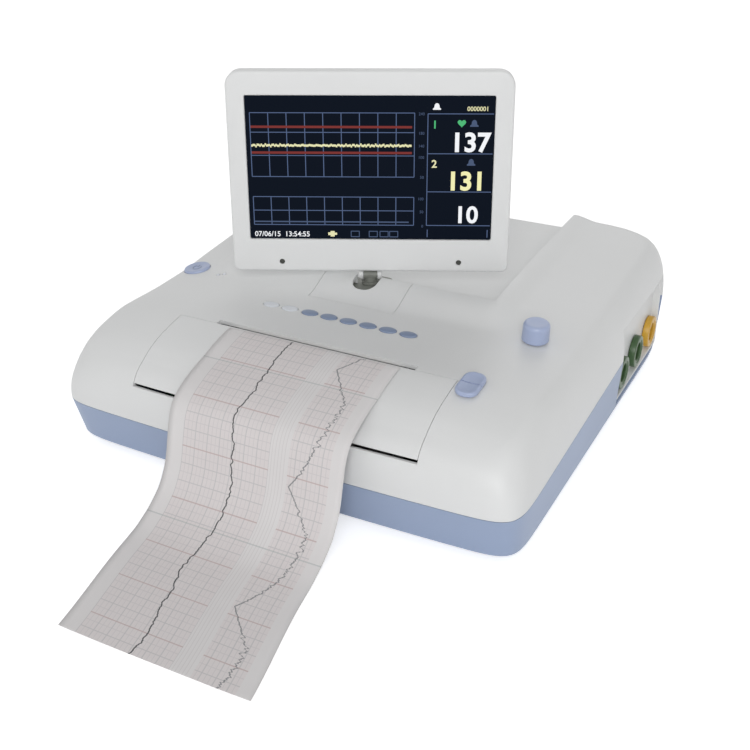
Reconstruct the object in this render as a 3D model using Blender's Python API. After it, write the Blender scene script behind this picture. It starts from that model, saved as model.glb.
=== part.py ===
"""Desktop fetal monitor (cardiotocograph) as separate pieces, in metres.

X points to the monitor's right, Y to its back and Z up. The origin lies on the table, in the
middle of the case's footprint. The casings are lofts of one plan outline and one deck height,
so that the case, its printer door and its hinge cover share one outer surface.
"""
import math

import bmesh
import bpy
import numpy as np
from mathutils import Matrix, Vector

for old in list(bpy.data.objects):
    bpy.data.objects.remove(old, do_unlink=True)

# General fits
GAP = 0.0003
OVERRUN = 0.004
ROUND_SIDES = 18
SMALL_SIDES = 12
SHARP_ANGLE = math.radians(35)

# Case: plan outline, seam between the halves, walls
CASE_WIDTH = 0.296
CASE_DEPTH = 0.3055
FRONT_BOW = 0.0032
FRONT_BOW_POWER = 3
FRONT_CORNER_POWER = 20
REAR_CORNER_POWER = 13
WALL = 0.0025
FOOT_HEIGHT = 0.005
SEAM_FRONT_Z = 0.0327
SEAM_REAR_Z = 0.0469
SHOULDER_REACH = 0.014
SHOULDER_POWER = 2.2
SHOULDER_ANGLES = (0, 18, 42, 66, 90)
SIDE_TAPER = 0.002
FRONT_TAPER = 0.007
BOTTOM_ROUND = 0.003
BOTTOM_ANGLES = (0, 90)
LINE_STEP = 0.045
CORNER_SHARES = (0.9, 0.97)

# Deck height over the table from the front edge to the back
DECK_REAR_Z = 0.088
DECK_Y_SHARES = (-0.5, -0.4845, -0.4714, -0.4583, -0.4354, -0.4092, -0.3699, -0.3077, -0.1964,
                 -0.1244, 0, 0.1637, 0.3273, 0.5)
DECK_Z_SHARES = (0.699, 0.7045, 0.7114, 0.725, 0.7727, 0.8182, 0.858, 0.8898, 0.8784, 0.8807,
                 0.9148, 0.9545, 0.983, 1)
DECK_SIDE_DROP = 0.006
DECK_SIDE_START_SHARE = 0.55
DECK_SIDE_POWER = 2.5
DECK_PROBE = 0.001

# Recess for the folded screen, its raised rim and the step in front of it
RECESS_CENTRE_X = -0.012
RECESS_FRONT_Y = -0.0085
RECESS_FLOOR_Z = 0.076
RIM_WIDTH = 0.0175
RIM_SHARES = (0.05, 0.5, 1)
RIM_HEIGHT = 0.0063
STEP_FOOT_Y = -0.038
STEP_Y_SHARES = (0, 0.3, 0.62, 1)
STEP_Z_SHARES = (0, 0.24, 0.95, 1)
RIM_REAR_SHARE = 0.45

# Swivelling and tilting screen
SCREEN_SWIVEL = math.radians(25.3)
SCREEN_TILT = math.radians(-4.4)
HINGE_X = -0.0092
HINGE_Y = -0.0057
TILT_AXIS_Z = 0.0856
SCREEN_BOTTOM = 0.004
SCREEN_FRONT = 0.007
BEZEL_DEPTH = 0.008
BEZEL_ROUND = 0.0009
REAR_COVER_DEPTH = 0.0075
REAR_COVER_EDGE = 0.0012
REAR_COVER_INSET = 0.014
SCREEN_WALL = 0.002
SCREEN_TOP_CORNER = 0.009
SCREEN_LOW_CORNER = 0.004
WINDOW_WIDTH = 0.1494
WINDOW_HEIGHT = 0.0887
WINDOW_UP = 0.0207
SIDE_FRAME = 0.0112
TOP_FRAME = 0.0143
SCREEN_WIDTH = WINDOW_WIDTH + 2 * SIDE_FRAME
SCREEN_HEIGHT = WINDOW_HEIGHT + WINDOW_UP + TOP_FRAME
RECESS_MARGIN = 0.0026
RECESS_WIDTH = SCREEN_WIDTH + 2 * RECESS_MARGIN
WINDOW_CORNER = 0.001
PANEL_MARGIN = 0.002
PANEL_DEPTH = 0.004
SCREEN_BOARD_THICK = 0.0016
SCREEN_BOARD_INSET = 0.012
POCKET_X = 0.0552
POCKET_UP = 0.0062
POCKET_RADIUS = 0.0016
POCKET_DEPTH = 0.0012

# Hinge under the screen
POST_RADIUS = 0.0056
POST_NECK = 0.0012
SPINDLE_RADIUS = 0.004
SPINDLE_LENGTH = 0.011
NUT_FLANGE_RADIUS = 0.0065
NUT_FLANGE_THICK = 0.0012
NUT_RADIUS = 0.006
NUT_THICK = 0.003
NUT_SIDES = 6
KNUCKLE_RADIUS = 0.0035
KNUCKLE_HALF = 0.0042
EAR_THICK = 0.0026
EAR_NECK = 0.0022
EAR_HEIGHT = 0.013
PIN_RADIUS = 0.0015
HINGE_PLATE_HALF = 0.011
HINGE_PLATE_FRONT_Y = -0.0245
HINGE_PLATE_REAR_Y = 0.0065
HINGE_PLATE_THICK = 0.0032
HINGE_PLATE_CORNER = 0.004
COVER_LEFT_X = -0.037
COVER_RIGHT_X = 0.022
COVER_FRONT_Y = -0.0365
NOTCH_HALF = 0.0083
NOTCH_X = -0.0078
NOTCH_FRONT_Y = -0.0225
NOTCH_CORNER = 0.0072
NOTCH_WALL = 0.0014

# Printer door and its hinge
DOOR_HALF = 0.091
DOOR_REAR_Y = -0.0968
DOOR_LOW_Z = 0.056
DOOR_GAP = 0.002
DOOR_AXIS_INSET = 0.01025
DOOR_AXIS_Y = -CASE_DEPTH / 2 + DOOR_AXIS_INSET
DOOR_AXIS_Z = 0.0575
DOOR_SWEEP = 0.0063
DOOR_ROD_RADIUS = 0.0012
DOOR_BOSS_RADIUS = 0.0029
DOOR_BOSS_THICK = 0.0036
DOOR_LUG_X = 0.0845
DOOR_LUG_LENGTH = 0.006
DOOR_LUG_Y = -0.1
DOOR_LUG_THICK = 0.002
DOOR_LUG_DROP = 0.0085
SLOT_WIDTH = 0.0047

# Platen roller, gears and motor
ROLLER_Y = -0.104
ROLLER_Z = 0.0665
ROLLER_RADIUS = 0.007
SHAFT_RADIUS = 0.002
CHEEK_THICK = 0.0025
CHEEK_WIDTH = 0.011
CHEEK_DROP = 0.0045
GEAR_MODULE = 0.0005
ROLLER_TEETH = 24
PINION_TEETH = 12
GEAR_WIDTH = 0.004
GEAR_ADDENDUM_SHARE = 0.8
GEAR_DEDENDUM_SHARE = 1.15
PRESSURE_ANGLE = math.radians(20)
GEAR_BACKLASH = 0.00016
MOTOR_RADIUS = 0.0095
MOTOR_LENGTH = 0.013
MOTOR_SHAFT_RADIUS = 0.001
MOTOR_BORE_DEPTH = 0.004

# Print head and its steel bridge
NIP = 0.001
HEAD_THICK = 0.003
HEAD_LOW_Z = 0.057
HEAD_TOP_Z = 0.0742
SINK_THICK = 0.0075
BRIDGE_STEEL = 0.0012
BRIDGE_FRONT_Y = -0.112
BRIDGE_LOW_Z = 0.036
BRIDGE_TOP_Z = 0.0725
BRIDGE_CHEEK_TOP_Z = 0.067

# Paper
PAPER_WIDTH = 0.112
PAPER_FOLD = 0.1
PAPER_STACK = 0.016
PAPER_THICK = 0.0003
PAPER_X = 0.0015
ROLLER_MARGIN = 0.002
ROLLER_HALF = PAPER_WIDTH / 2 + ROLLER_MARGIN
HEAD_MARGIN = 0.0005
HEAD_HALF = PAPER_WIDTH / 2 + HEAD_MARGIN
SLOT_MARGIN = 0.0095
SLOT_HALF = PAPER_WIDTH / 2 + SLOT_MARGIN
BRIDGE_MARGIN = 0.0107
BRIDGE_LEFT_X = PAPER_X - PAPER_WIDTH / 2 - BRIDGE_MARGIN
BRIDGE_MOTOR_MARGIN = 0.0099
BRIDGE_RIGHT_X = PAPER_X + PAPER_WIDTH / 2 + BRIDGE_MOTOR_MARGIN
TRAY_WALL = 0.0015
TRAY_CLEARANCE = 0.0025
TRAY_HEIGHT = 0.023
TRAY_FRONT_Y = -0.1395
PAPER_END_Y = -0.283
PAPER_SKEW = 0.016
PAPER_SKEW_START_Y = -0.186
PAPER_CLEAR = 0.001
PAPER_DOOR_Y_SHARES = (0.04, 0.2, 0.36, 0.5)
PAPER_RISE_Y_SHARES = (0, 0.2, 0.6, 0.88, 1)
PAPER_RISE_Z_SHARES = (0, 0.16, 0.5, 0.76, 1)
PAPER_FALL_Y_SHARES = (0.085, 0.158, 0.209, 0.237, 0.258, 0.275, 0.29, 0.335, 0.405, 0.481,
                       0.551, 0.78, 1)
PAPER_FALL_Z_SHARES = (0.953, 0.895, 0.829, 0.739, 0.58, 0.435, 0.338, 0.186, 0.073, 0.012,
                       0, 0, 0)

# Keys, windows, power button, lamps, knob and latch on the deck
KEY_COUNT = 6
KEY_PITCH = 0.0133
FIRST_KEY_X = -0.0237
KEY_Y = -0.058
KEY_HALF_LENGTH = 0.0054
KEY_HALF_WIDTH = 0.0036
KEY_PROUD = 0.001
KEY_ROUND = 0.0005
KEY_FLANGE = 0.0008
KEY_TRAVEL = 0.0006
KEY_BOARD_THICK = 0.0016
KEY_BOARD_MARGIN = 0.008
SWITCH_SIZE = 0.005
SWITCH_HEIGHT = 0.0025
CARRIER_POST_RADIUS = 0.0017
WINDOW_COUNT = 2
FIRST_WINDOW_X = -0.0512
WINDOW_PROUD = 0.0005
WINDOW_BAR = 0.002
POWER_X = -0.1275
POWER_Y = -0.029
POWER_RADIUS = 0.0087
POWER_PROUD = 0.0014
POWER_TRAVEL = 0.001
POWER_FLANGE_DROP = 0.0035
POWER_BOARD_HALF = 0.0105
LED_COUNT = 2
LED_X = -0.107
LED_Y = -0.0344
LED_PITCH = 0.0036
LED_RADIUS = 0.0011
LED_PROUD = 0.0005
LED_DEPTH = 0.0048
LED_HOLDER = 0.0012
KNOB_X = 0.111
KNOB_Y = -0.031
KNOB_RADIUS = 0.008
KNOB_HEIGHT = 0.0112
KNOB_LIFT = 0.0009
KNOB_TOP_ROUND = 0.0022
KNOB_TRAVEL = 0.0005
KNOB_BORE_DEPTH = 0.0065
ENCODER_SIZE = 0.012
ENCODER_HEIGHT = 0.006
ENCODER_DROP = 0.0005
ENCODER_SHAFT_RADIUS = 0.003
ENCODER_SHAFT_UP = 0.006
LATCH_X = 0.0998
LATCH_Y = -0.0995
LATCH_WIDTH = 0.0128
LATCH_LENGTH = 0.0215
LATCH_HEIGHT = 0.0024
LATCH_LIFT = 0.0006
LATCH_ROUND = 0.0008
LATCH_CORNER = 0.0055
LATCH_TRAVEL = 0.004
LATCH_STEM_WIDTH = 0.005
LATCH_STEM_LENGTH = 0.008
LATCH_PLATE_THICK = 0.002
LATCH_PLATE_MARGIN = 0.003
LATCH_PLATE_DROP = 0.0012
LATCH_TONGUE_CLEARANCE = 0.0024

# Socket bay in the right side
BAY_FRONT_Y = 0.033
BAY_REAR_Y = 0.1315
BAY_LOW_Z = 0.0095
BAY_HIGH_Z = 0.062
BAY_FACE_INSET = 0.0075
BAY_FACE_X = CASE_WIDTH / 2 - BAY_FACE_INSET
BAY_OUTER_INSET = 0.003
BAY_OUTER_X = CASE_WIDTH / 2 - BAY_OUTER_INSET
BAY_RIM = 0.0016
BAY_PANEL = 0.0022
SOCKET_COUNT = 3
SOCKET_FIRST_Y = 0.0515
SOCKET_PITCH = 0.0332
SOCKET_Z = 0.0238
SOCKET_RADIUS = 0.0108
SOCKET_PROUD = 0.0044
SOCKET_ROUND = 0.0008
SOCKET_BACK = 0.006
SOCKET_NECK_RADIUS = 0.0085
SOCKET_BORE_RADIUS = 0.0062
SOCKET_BORE_DEPTH = 0.0095
CONTACT_RADIUS = 0.0035
CONTACT_LENGTH = 0.0015
SOCKET_BOARD_THICK = 0.0016
SOCKET_BOARD_HALF_HEIGHT = 0.011
SOCKET_BOARD_MARGIN = 0.004

# Rear ports
PORT_Z = 0.024
PORT_MARGIN = 0.0005
INLET_X = -0.095
INLET_HALF = 0.006
INLET_RADIUS = 0.0038
INLET_DEPTH = 0.012
INLET_BORE = 0.009
SERIAL_X = -0.03
SERIAL_HALF_WIDTH = 0.0125
SERIAL_HALF_HEIGHT = 0.006
SERIAL_RIM = 0.0015
SERIAL_DEPTH = 0.012
SERIAL_BORE = 0.007

# Speaker, boards and battery
SPEAKER_X = -0.1
SPEAKER_Y = -0.012
SPEAKER_RADIUS = 0.02
SPEAKER_HEIGHT = 0.012
SPEAKER_NECK_SHARE = 0.55
GRILLE_SLOTS = 5
GRILLE_PITCH = 0.006
GRILLE_WIDTH = 0.0025
GRILLE_LENGTH = 0.026
BOARD_THICK = 0.0016
BOARD_LIFT = 0.006
BOARD_HOLE_INSET = 0.006
MAIN_BOARD = (-0.038, 0.022, 0.112, 0.126)
POWER_BOARD = (-0.114, -0.11, -0.072, -0.045)
BOARD_POST_RADIUS = 0.003
BOARD_PEG_RADIUS = 0.0015
BOARD_PEG_HEIGHT = 0.004
CHIP_HEIGHT = 0.003
CHIP_X_SHARES = (0.2, 0.5, 0.78, 0.34, 0.7)
CHIP_Y_SHARES = (0.3, 0.3, 0.3, 0.72, 0.72)
CHIP_SIZE_SHARES = (0.16, 0.12, 0.14, 0.2, 0.12)
BATTERY = (-0.108, 0.022, -0.048, 0.108)
BATTERY_HEIGHT = 0.02
HATCH_MARGIN = 0.006
HATCH_LEDGE = 0.003
HATCH_THICK = 0.0012

# Screws and feet
SCREW_INSET = 0.026
SCREW_X = CASE_WIDTH / 2 - SCREW_INSET
SCREW_Y_SHARES = (-0.3535, 0.3404)
SCREW_HEAD_RADIUS = 0.0028
SCREW_HEAD_HEIGHT = 0.0018
SCREW_RADIUS = 0.0014
SCREW_LENGTH = 0.014
SCREW_SINK = 0.0006
PILLAR_RADIUS = 0.0045
PILLAR_HEIGHT = 0.007
FOOT_INSET = 0.022
FOOT_REAR_INSET = 0.02675
FOOT_X = CASE_WIDTH / 2 - FOOT_INSET
FOOT_Y = CASE_DEPTH / 2 - FOOT_REAR_INSET
FOOT_RADIUS = 0.0075
FOOT_ROUND = 0.001

# Sizes that follow from the ones above
HALF_WIDTH = CASE_WIDTH / 2
HALF_DEPTH = CASE_DEPTH / 2
FLOOR_Z = FOOT_HEIGHT + WALL
PILLAR_TOP_Z = FOOT_HEIGHT + PILLAR_HEIGHT
SKY_Z = DECK_REAR_Z + RIM_HEIGHT + OVERRUN
RECESS_HALF = RECESS_WIDTH / 2
STEP_LENGTH = RECESS_FRONT_Y - GAP - STEP_FOOT_Y
PLATE_TOP_Z = RECESS_FLOOR_Z + GAP + HINGE_PLATE_THICK
NIP_Y = ROLLER_Y + ROLLER_RADIUS
HEAD_FRONT_Y = NIP_Y + NIP
HEAD_REAR_Y = HEAD_FRONT_Y + HEAD_THICK
SINK_REAR_Y = HEAD_REAR_Y + GAP + SINK_THICK
BRIDGE_REAR_Y = SINK_REAR_Y + GAP + BRIDGE_STEEL
CHEEK_X = ROLLER_HALF + GAP
GEAR_X = CHEEK_X + CHEEK_THICK + GAP
GEAR_CENTRES = GEAR_MODULE * (ROLLER_TEETH + PINION_TEETH) / 2
OPENING_ARM = Vector((ROLLER_Y - DOOR_AXIS_Y, ROLLER_Z - DOOR_AXIS_Z)).normalized()
PINION_Y = ROLLER_Y + OPENING_ARM.y * GEAR_CENTRES
PINION_Z = ROLLER_Z - OPENING_ARM.x * GEAR_CENTRES
BAY_BACK_X = BAY_FACE_X - BAY_PANEL
SOCKET_BACK_X = BAY_BACK_X - SOCKET_BACK
POWER_FLANGE_TOP = -WALL - POWER_FLANGE_DROP
POWER_BOARD_TOP = POWER_FLANGE_TOP - KEY_FLANGE - POWER_TRAVEL - GAP - SWITCH_HEIGHT

COLOURS = {
    "white_plastic": ((0.80, 0.81, 0.81), 0.42, 0),
    "blue_plastic": ((0.33, 0.41, 0.57), 0.45, 0),
    "key_blue": ((0.22, 0.29, 0.46), 0.4, 0),
    "knob_blue": ((0.34, 0.42, 0.62), 0.4, 0),
    "dark_grey": ((0.06, 0.065, 0.055), 0.5, 0),
    "black_rubber": ((0.03, 0.03, 0.03), 0.8, 0),
    "steel": ((0.55, 0.56, 0.57), 0.3, 1),
    "aluminium": ((0.75, 0.76, 0.77), 0.35, 1),
    "brass": ((0.75, 0.6, 0.3), 0.3, 1),
    "screen_glass": ((0.01, 0.015, 0.03), 0.12, 0),
    "paper": ((0.85, 0.8, 0.8), 0.85, 0),
    "ceramic": ((0.8, 0.78, 0.72), 0.25, 0),
    "board_green": ((0.03, 0.2, 0.08), 0.5, 0),
    "socket_green": ((0.05, 0.11, 0.05), 0.45, 0),
    "socket_yellow": ((0.55, 0.36, 0.06), 0.45, 0),
    "lamp_white": ((0.85, 0.86, 0.87), 0.3, 0),
    "battery_wrap": ((0.1, 0.16, 0.35), 0.5, 0),
}


def material(name):
    """The named finish, made once."""
    found = bpy.data.materials.get(name)
    if found:
        return found
    colour, roughness, metallic = COLOURS[name]
    made = bpy.data.materials.new(name)
    made.use_nodes = True
    shader = made.node_tree.nodes["Principled BSDF"]
    shader.inputs["Base Color"].default_value = (*colour, 1)
    shader.inputs["Roughness"].default_value = roughness
    shader.inputs["Metallic"].default_value = metallic
    return made


def empty(name, location, parent=None, rotation=(0, 0, 0)):
    """An axis marker that moving pieces hang from."""
    marker = bpy.data.objects.new(name, None)
    marker.location = location
    marker.rotation_euler = rotation
    marker.parent = parent
    bpy.context.scene.collection.objects.link(marker)
    return marker


class Solids:
    """Closed solids gathered into one mesh, then made an object."""

    def __init__(self):
        self.bm = bmesh.new()

    def faces(self, points, faces):
        verts = [self.bm.verts.new(p) for p in points]
        for face in faces:
            self.bm.faces.new([verts[i] for i in face])
        return self

    def rings(self, rings, closed=False):
        """Rings of as many points each, joined in turn; capped, or closed into a loop."""
        count = len(rings[0])
        points = [p for ring in rings for p in ring]
        pairs = [(r, r + 1) for r in range(len(rings) - 1)]
        if closed:
            pairs.append((len(rings) - 1, 0))
        faces = [(a * count + k, a * count + (k + 1) % count,
                  b * count + (k + 1) % count, b * count + k)
                 for a, b in pairs for k in range(count)]
        if not closed:
            last = (len(rings) - 1) * count
            faces += [tuple(reversed(range(count))), tuple(range(last, last + count))]
        return self.faces(points, faces)

    def stack(self, levels, frame=Matrix(), closed=False):
        """Outlines, each with its height along the frame's Z, joined in turn."""
        rings = [[frame @ Vector((x, y, z)) for x, y in outline] for outline, z in levels]
        return self.rings(rings, closed)

    def prism(self, outline, low, high, frame=Matrix()):
        return self.stack([(outline, low), (outline, high)], frame)

    def block(self, low, high, frame=Matrix()):
        (x0, y0, z0), (x1, y1, z1) = low, high
        return self.prism(corners((x0, y0, x1, y1)), z0, z1, frame)

    def lathe(self, profile, frame=Matrix(), sides=ROUND_SIDES, closed=False):
        """A profile of radius and height pairs, none on the axis, turned about Z."""
        levels = [(oval(radius, radius, sides), z) for radius, z in profile]
        return self.stack(levels, frame, closed)

    def rod(self, radius, low, high, frame=Matrix(), sides=ROUND_SIDES):
        return self.lathe([(radius, low), (radius, high)], frame, sides)

    def tube(self, outer, inner, low, high, frame=Matrix(), sides=ROUND_SIDES):
        """A ring from the inner to the outer radius."""
        ring = [(outer, low), (outer, high), (inner, high), (inner, low)]
        return self.lathe(ring, frame, sides, closed=True)

    def done(self, name, finish=None, parent=None, faceted=False):
        """The gathered solids as an object; without a finish it is a cutter or a guide."""
        if faceted:
            bmesh.ops.triangulate(self.bm, faces=self.bm.faces)
        bmesh.ops.recalc_face_normals(self.bm, faces=self.bm.faces)
        mesh = bpy.data.meshes.new(name)
        self.bm.to_mesh(mesh)
        self.bm.free()
        mesh.shade_smooth()
        mesh.set_sharp_from_angle(angle=SHARP_ANGLE)
        made = bpy.data.objects.new(name, mesh)
        made.parent = parent
        bpy.context.scene.collection.objects.link(made)
        if finish:
            mesh.materials.append(material(finish))
        else:
            made.hide_render = True
            made.display_type = "WIRE"
        return made


def combine(target, tool, operation):
    """Joins, cuts or trims the target by a tool object."""
    step = target.modifiers.new(f"{operation.lower()}_{tool.name}", "BOOLEAN")
    step.operation = operation
    step.solver = "EXACT"
    step.object = tool
    return target


def corners(box):
    """The four corners of a plan box given by its low and high X and Y."""
    x0, y0, x1, y1 = box
    return [(x0, y0), (x1, y0), (x1, y1), (x0, y1)]


def grown(box, margin):
    x0, y0, x1, y1 = box
    return x0 - margin, y0 - margin, x1 + margin, y1 + margin


def rounded(width, length, radius, centre=(0, 0), steps=4, low_radius=None):
    """A rectangle with round corners as a list of x and y; the low corners may differ."""
    points = []
    for corner, (sx, sy) in enumerate(((1, 1), (-1, 1), (-1, -1), (1, -1))):
        r = low_radius if low_radius and sy < 0 else radius
        cx = centre[0] + sx * (width / 2 - r)
        cy = centre[1] + sy * (length / 2 - r)
        for k in range(steps + 1):
            turn = math.pi / 2 * (corner + k / steps)
            points.append((cx + r * math.cos(turn), cy + r * math.sin(turn)))
    return points


def oval(half_length, half_width, sides=ROUND_SIDES):
    turns = [2 * math.pi * k / sides for k in range(sides)]
    return [(half_length * math.cos(t), half_width * math.sin(t)) for t in turns]


def upright(x, y):
    """A frame over a place in plan."""
    return Matrix.Translation((x, y, 0))


def along_x(x, y, z):
    """A frame whose Z runs along the world's X and whose X points down."""
    return Matrix.Translation((x, y, z)) @ Matrix.Rotation(math.pi / 2, 4, "Y")


def along_y(x, y, z):
    """A frame whose Z runs along the world's Y and whose Y points down."""
    return Matrix.Translation((x, y, z)) @ Matrix.Rotation(-math.pi / 2, 4, "X")


# Case surfaces

def seam_z(y):
    return SEAM_FRONT_Z + (SEAM_REAR_Z - SEAM_FRONT_Z) * (y / CASE_DEPTH + 1 / 2)


def ease(low, high, value):
    """0 before low, 1 after high, smooth between them."""
    share = np.clip((value - low) / (high - low), 0, 1)
    return share * share * (3 - 2 * share)


def rim_height(x, y):
    """The rim round the screen recess: a step in front, falling away at its sides and rear."""
    places = STEP_FOOT_Y + STEP_LENGTH * np.array(STEP_Y_SHARES)
    heights = RIM_HEIGHT * np.append(STEP_Z_SHARES, RIM_REAR_SHARE)
    reach = np.abs(x - RECESS_CENTRE_X)
    side = 1 - ease(RECESS_HALF, RECESS_HALF + RIM_WIDTH, reach)
    return np.interp(y, np.append(places, HALF_DEPTH), heights) * side


def deck_height(x, y):
    """Top of the case over the table: a ramp to the back, a side fall and the recess rim."""
    ramp = np.interp(y / CASE_DEPTH, DECK_Y_SHARES, DECK_Z_SHARES) * DECK_REAR_Z
    edge = np.abs(x) / HALF_WIDTH
    fall = np.clip((edge - DECK_SIDE_START_SHARE) / (1 - DECK_SIDE_START_SHARE), 0, 1) ** DECK_SIDE_POWER
    return ramp - DECK_SIDE_DROP * fall + rim_height(x, y)


def deck_frame(x, y, probe=DECK_PROBE):
    """A frame on the deck whose Z is the deck's normal, taken over the probe's length."""
    rise_x = (deck_height(x + probe, y) - deck_height(x - probe, y)) / (2 * probe)
    rise_y = (deck_height(x, y + probe) - deck_height(x, y - probe)) / (2 * probe)
    normal = Vector((-rise_x, -rise_y, 1)).normalized()
    across = Vector((1, 0, rise_x)).normalized()
    turned = Matrix((across, normal.cross(across), normal)).transposed().to_4x4()
    return Matrix.Translation((x, y, deck_height(x, y))) @ turned


def deck_axis(name, frame):
    """An axis marker that stands as a deck frame does."""
    return empty(name, frame.translation, rotation=frame.to_euler())


def plan_point(u, v, inset, front_inset=0):
    """The plan outline at square coordinates u and v: a superellipse with a bowed front."""
    power = np.where(v < 0, FRONT_CORNER_POWER, REAR_CORNER_POWER)
    most = np.maximum(np.abs(u), np.abs(v))
    norm = (np.abs(u) ** power + np.abs(v) ** power) ** (1 / power)
    shrink = np.where(norm > 0, most / np.where(norm > 0, norm, 1), 1)
    x = (HALF_WIDTH - inset) * u * shrink
    y = (HALF_DEPTH - inset) * v * shrink
    forward = np.clip(-y / HALF_DEPTH, 0, 1) ** FRONT_BOW_POWER
    return x, y + forward * (FRONT_BOW * (x / HALF_WIDTH) ** 2 + front_inset)


def lines(breaks, half, step):
    """Grid lines from -1 to 1 at the breaks and corners, with no cell wider than the step."""
    edges = [side * share for share in CORNER_SHARES for side in (-1, 1)]
    marks = sorted(edges + [-1, 1] + [b / half for b in breaks if abs(b) < half])
    filled = [marks[0]]
    for mark in marks[1:]:
        start = filled[-1]
        width = (mark - start) * half
        if width < step / 8 and mark < 1:
            continue
        count = max(1, math.ceil(width / step))
        filled += [start + (mark - start) * (k + 1) / count for k in range(count)]
    return np.array(filled)


def border(nu, nv):
    """Indices of a grid's border, once round."""
    low = [(i, 0) for i in range(nu)]
    right = [(nu - 1, j) for j in range(1, nv)]
    high = [(i, nv - 1) for i in range(nu - 2, -1, -1)]
    left = [(0, j) for j in range(nv - 2, 0, -1)]
    return low + right + high + left


def band(start, upper):
    """Quads between a ring of new points and the ring above it."""
    count = len(upper)
    lower = list(range(start, start + count))
    quads = [(lower[k], lower[(k + 1) % count], upper[(k + 1) % count], upper[k])
             for k in range(count)]
    return lower, quads


DECK_X_BREAKS = [RECESS_CENTRE_X + side * (RECESS_HALF + RIM_WIDTH * share)
                 for share in RIM_SHARES for side in (-1, 1)]
DECK_Y_BREAKS = [share * CASE_DEPTH for share in DECK_Y_SHARES] + [
    STEP_FOOT_Y + STEP_LENGTH * share for share in STEP_Y_SHARES]


def upper_loft(name, shrink=0, drop=0, below=0, step=LINE_STEP, finish=None):
    """The upper case's solid: the deck as a grid, the shoulder and walls as rings."""
    us = lines(DECK_X_BREAKS, HALF_WIDTH - SHOULDER_REACH, step)
    vs = lines(DECK_Y_BREAKS, HALF_DEPTH - SHOULDER_REACH, step)
    nu, nv = len(us), len(vs)
    u, v = np.meshgrid(us, vs, indexing="ij")
    x, y = plan_point(u, v, SHOULDER_REACH + shrink)
    points = np.stack([x, y, deck_height(x, y) - drop], -1).reshape(-1, 3).tolist()
    faces = [(i * nv + j, (i + 1) * nv + j, (i + 1) * nv + j + 1, i * nv + j + 1)
             for i in range(nu - 1) for j in range(nv - 1)]
    loop = border(nu, nv)
    upper = [i * nv + j for i, j in loop]
    bu = np.array([us[i] for i, j in loop])
    bv = np.array([vs[j] for i, j in loop])
    for angle in reversed(SHOULDER_ANGLES[:-1]):
        turn = math.radians(angle)
        inset = SHOULDER_REACH * (1 - math.cos(turn) ** (2 / SHOULDER_POWER))
        rise = math.sin(turn) ** (2 / SHOULDER_POWER)
        x, y = plan_point(bu, bv, inset + shrink)
        foot = seam_z(y) + GAP / 2
        z = foot + rise * (deck_height(x, y) - drop - foot)
        if angle == 0:
            z = z - below
        upper, quads = band(len(points), upper)
        points += np.stack([x, y, z], -1).tolist()
        faces += quads
    return Solids().faces(points, faces + [tuple(upper)]).done(name, finish, faceted=True)


def lower_loft(name, shrink=0, above=0, floor=FOOT_HEIGHT, finish=None):
    """The lower case's solid: a tapering wall from the seam down to a round bottom edge."""
    us = lines((), HALF_WIDTH - SHOULDER_REACH, 2 * LINE_STEP)
    vs = lines((), HALF_DEPTH - SHOULDER_REACH, 2 * LINE_STEP)
    loop = border(len(us), len(vs))
    bu = np.array([us[i] for i, j in loop])
    bv = np.array([vs[j] for i, j in loop])
    x, y = plan_point(bu, bv, shrink)
    points = np.stack([x, y, seam_z(y) - GAP / 2 + above], -1).tolist()
    upper = list(range(len(loop)))
    faces = [tuple(upper)]
    for angle in BOTTOM_ANGLES:
        turn = math.radians(angle)
        inset = shrink + SIDE_TAPER + BOTTOM_ROUND * (1 - math.cos(turn))
        x, y = plan_point(bu, bv, inset, FRONT_TAPER - SIDE_TAPER)
        z = floor + BOTTOM_ROUND * (1 - math.sin(turn)) + 0 * x
        upper, quads = band(len(points), upper)
        points += np.stack([x, y, z], -1).tolist()
        faces += quads
    return Solids().faces(points, faces + [tuple(upper)]).done(name, finish, faceted=True)


def under_skin(solids, name):
    """Inner shapes trimmed to end inside the case's skin."""
    limit = bpy.data.objects.get("skin_middle")
    if not limit:
        limit = upper_loft("skin_middle", WALL / 2, WALL / 2, SEAM_REAR_Z)
    return combine(solids.done(name), limit, "INTERSECT")


# Shared places

def key_places():
    """Deck places of the keys, from the left."""
    return [(FIRST_KEY_X + KEY_PITCH * k, KEY_Y) for k in range(KEY_COUNT)]


def window_places():
    return [(FIRST_WINDOW_X + KEY_PITCH * k, KEY_Y) for k in range(WINDOW_COUNT)]


def led_places():
    return [(LED_X + LED_PITCH * k, LED_Y + LED_PITCH / 2 * k) for k in range(LED_COUNT)]


def screw_places():
    """Places of the case screws, which go up from under the floor."""
    return [(side * SCREW_X, share * CASE_DEPTH) for side in (-1, 1) for share in SCREW_Y_SHARES]


def hole_places(box):
    """Peg places in a board's corners."""
    x0, y0, x1, y1 = grown(box, -BOARD_HOLE_INSET)
    return [(x, y) for x in (x0, x1) for y in (y0, y1)]


def socket_places():
    return [SOCKET_FIRST_Y + SOCKET_PITCH * k for k in range(SOCKET_COUNT)]


def key_board_box():
    """Plan of the key board."""
    places = window_places() + key_places()
    return (places[0][0] - KEY_BOARD_MARGIN, KEY_Y - KEY_BOARD_MARGIN,
            places[-1][0] + KEY_BOARD_MARGIN, KEY_Y + KEY_BOARD_MARGIN)


def key_board_top():
    """Height of the key board's upper face, one key travel below the pressed switches."""
    depth = WALL + GAP + KEY_FLANGE + KEY_TRAVEL + GAP + SWITCH_HEIGHT
    return float(deck_height(0, KEY_Y)) - depth


def latch_frame():
    return deck_frame(LATCH_X, LATCH_Y, LATCH_LENGTH / 2)


# Case

def screw_bosses(solids):
    for x, y in screw_places():
        solids.rod(PILLAR_RADIUS, PILLAR_TOP_Z + GAP, DECK_REAR_Z, upright(x, y), SMALL_SIDES)


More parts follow.
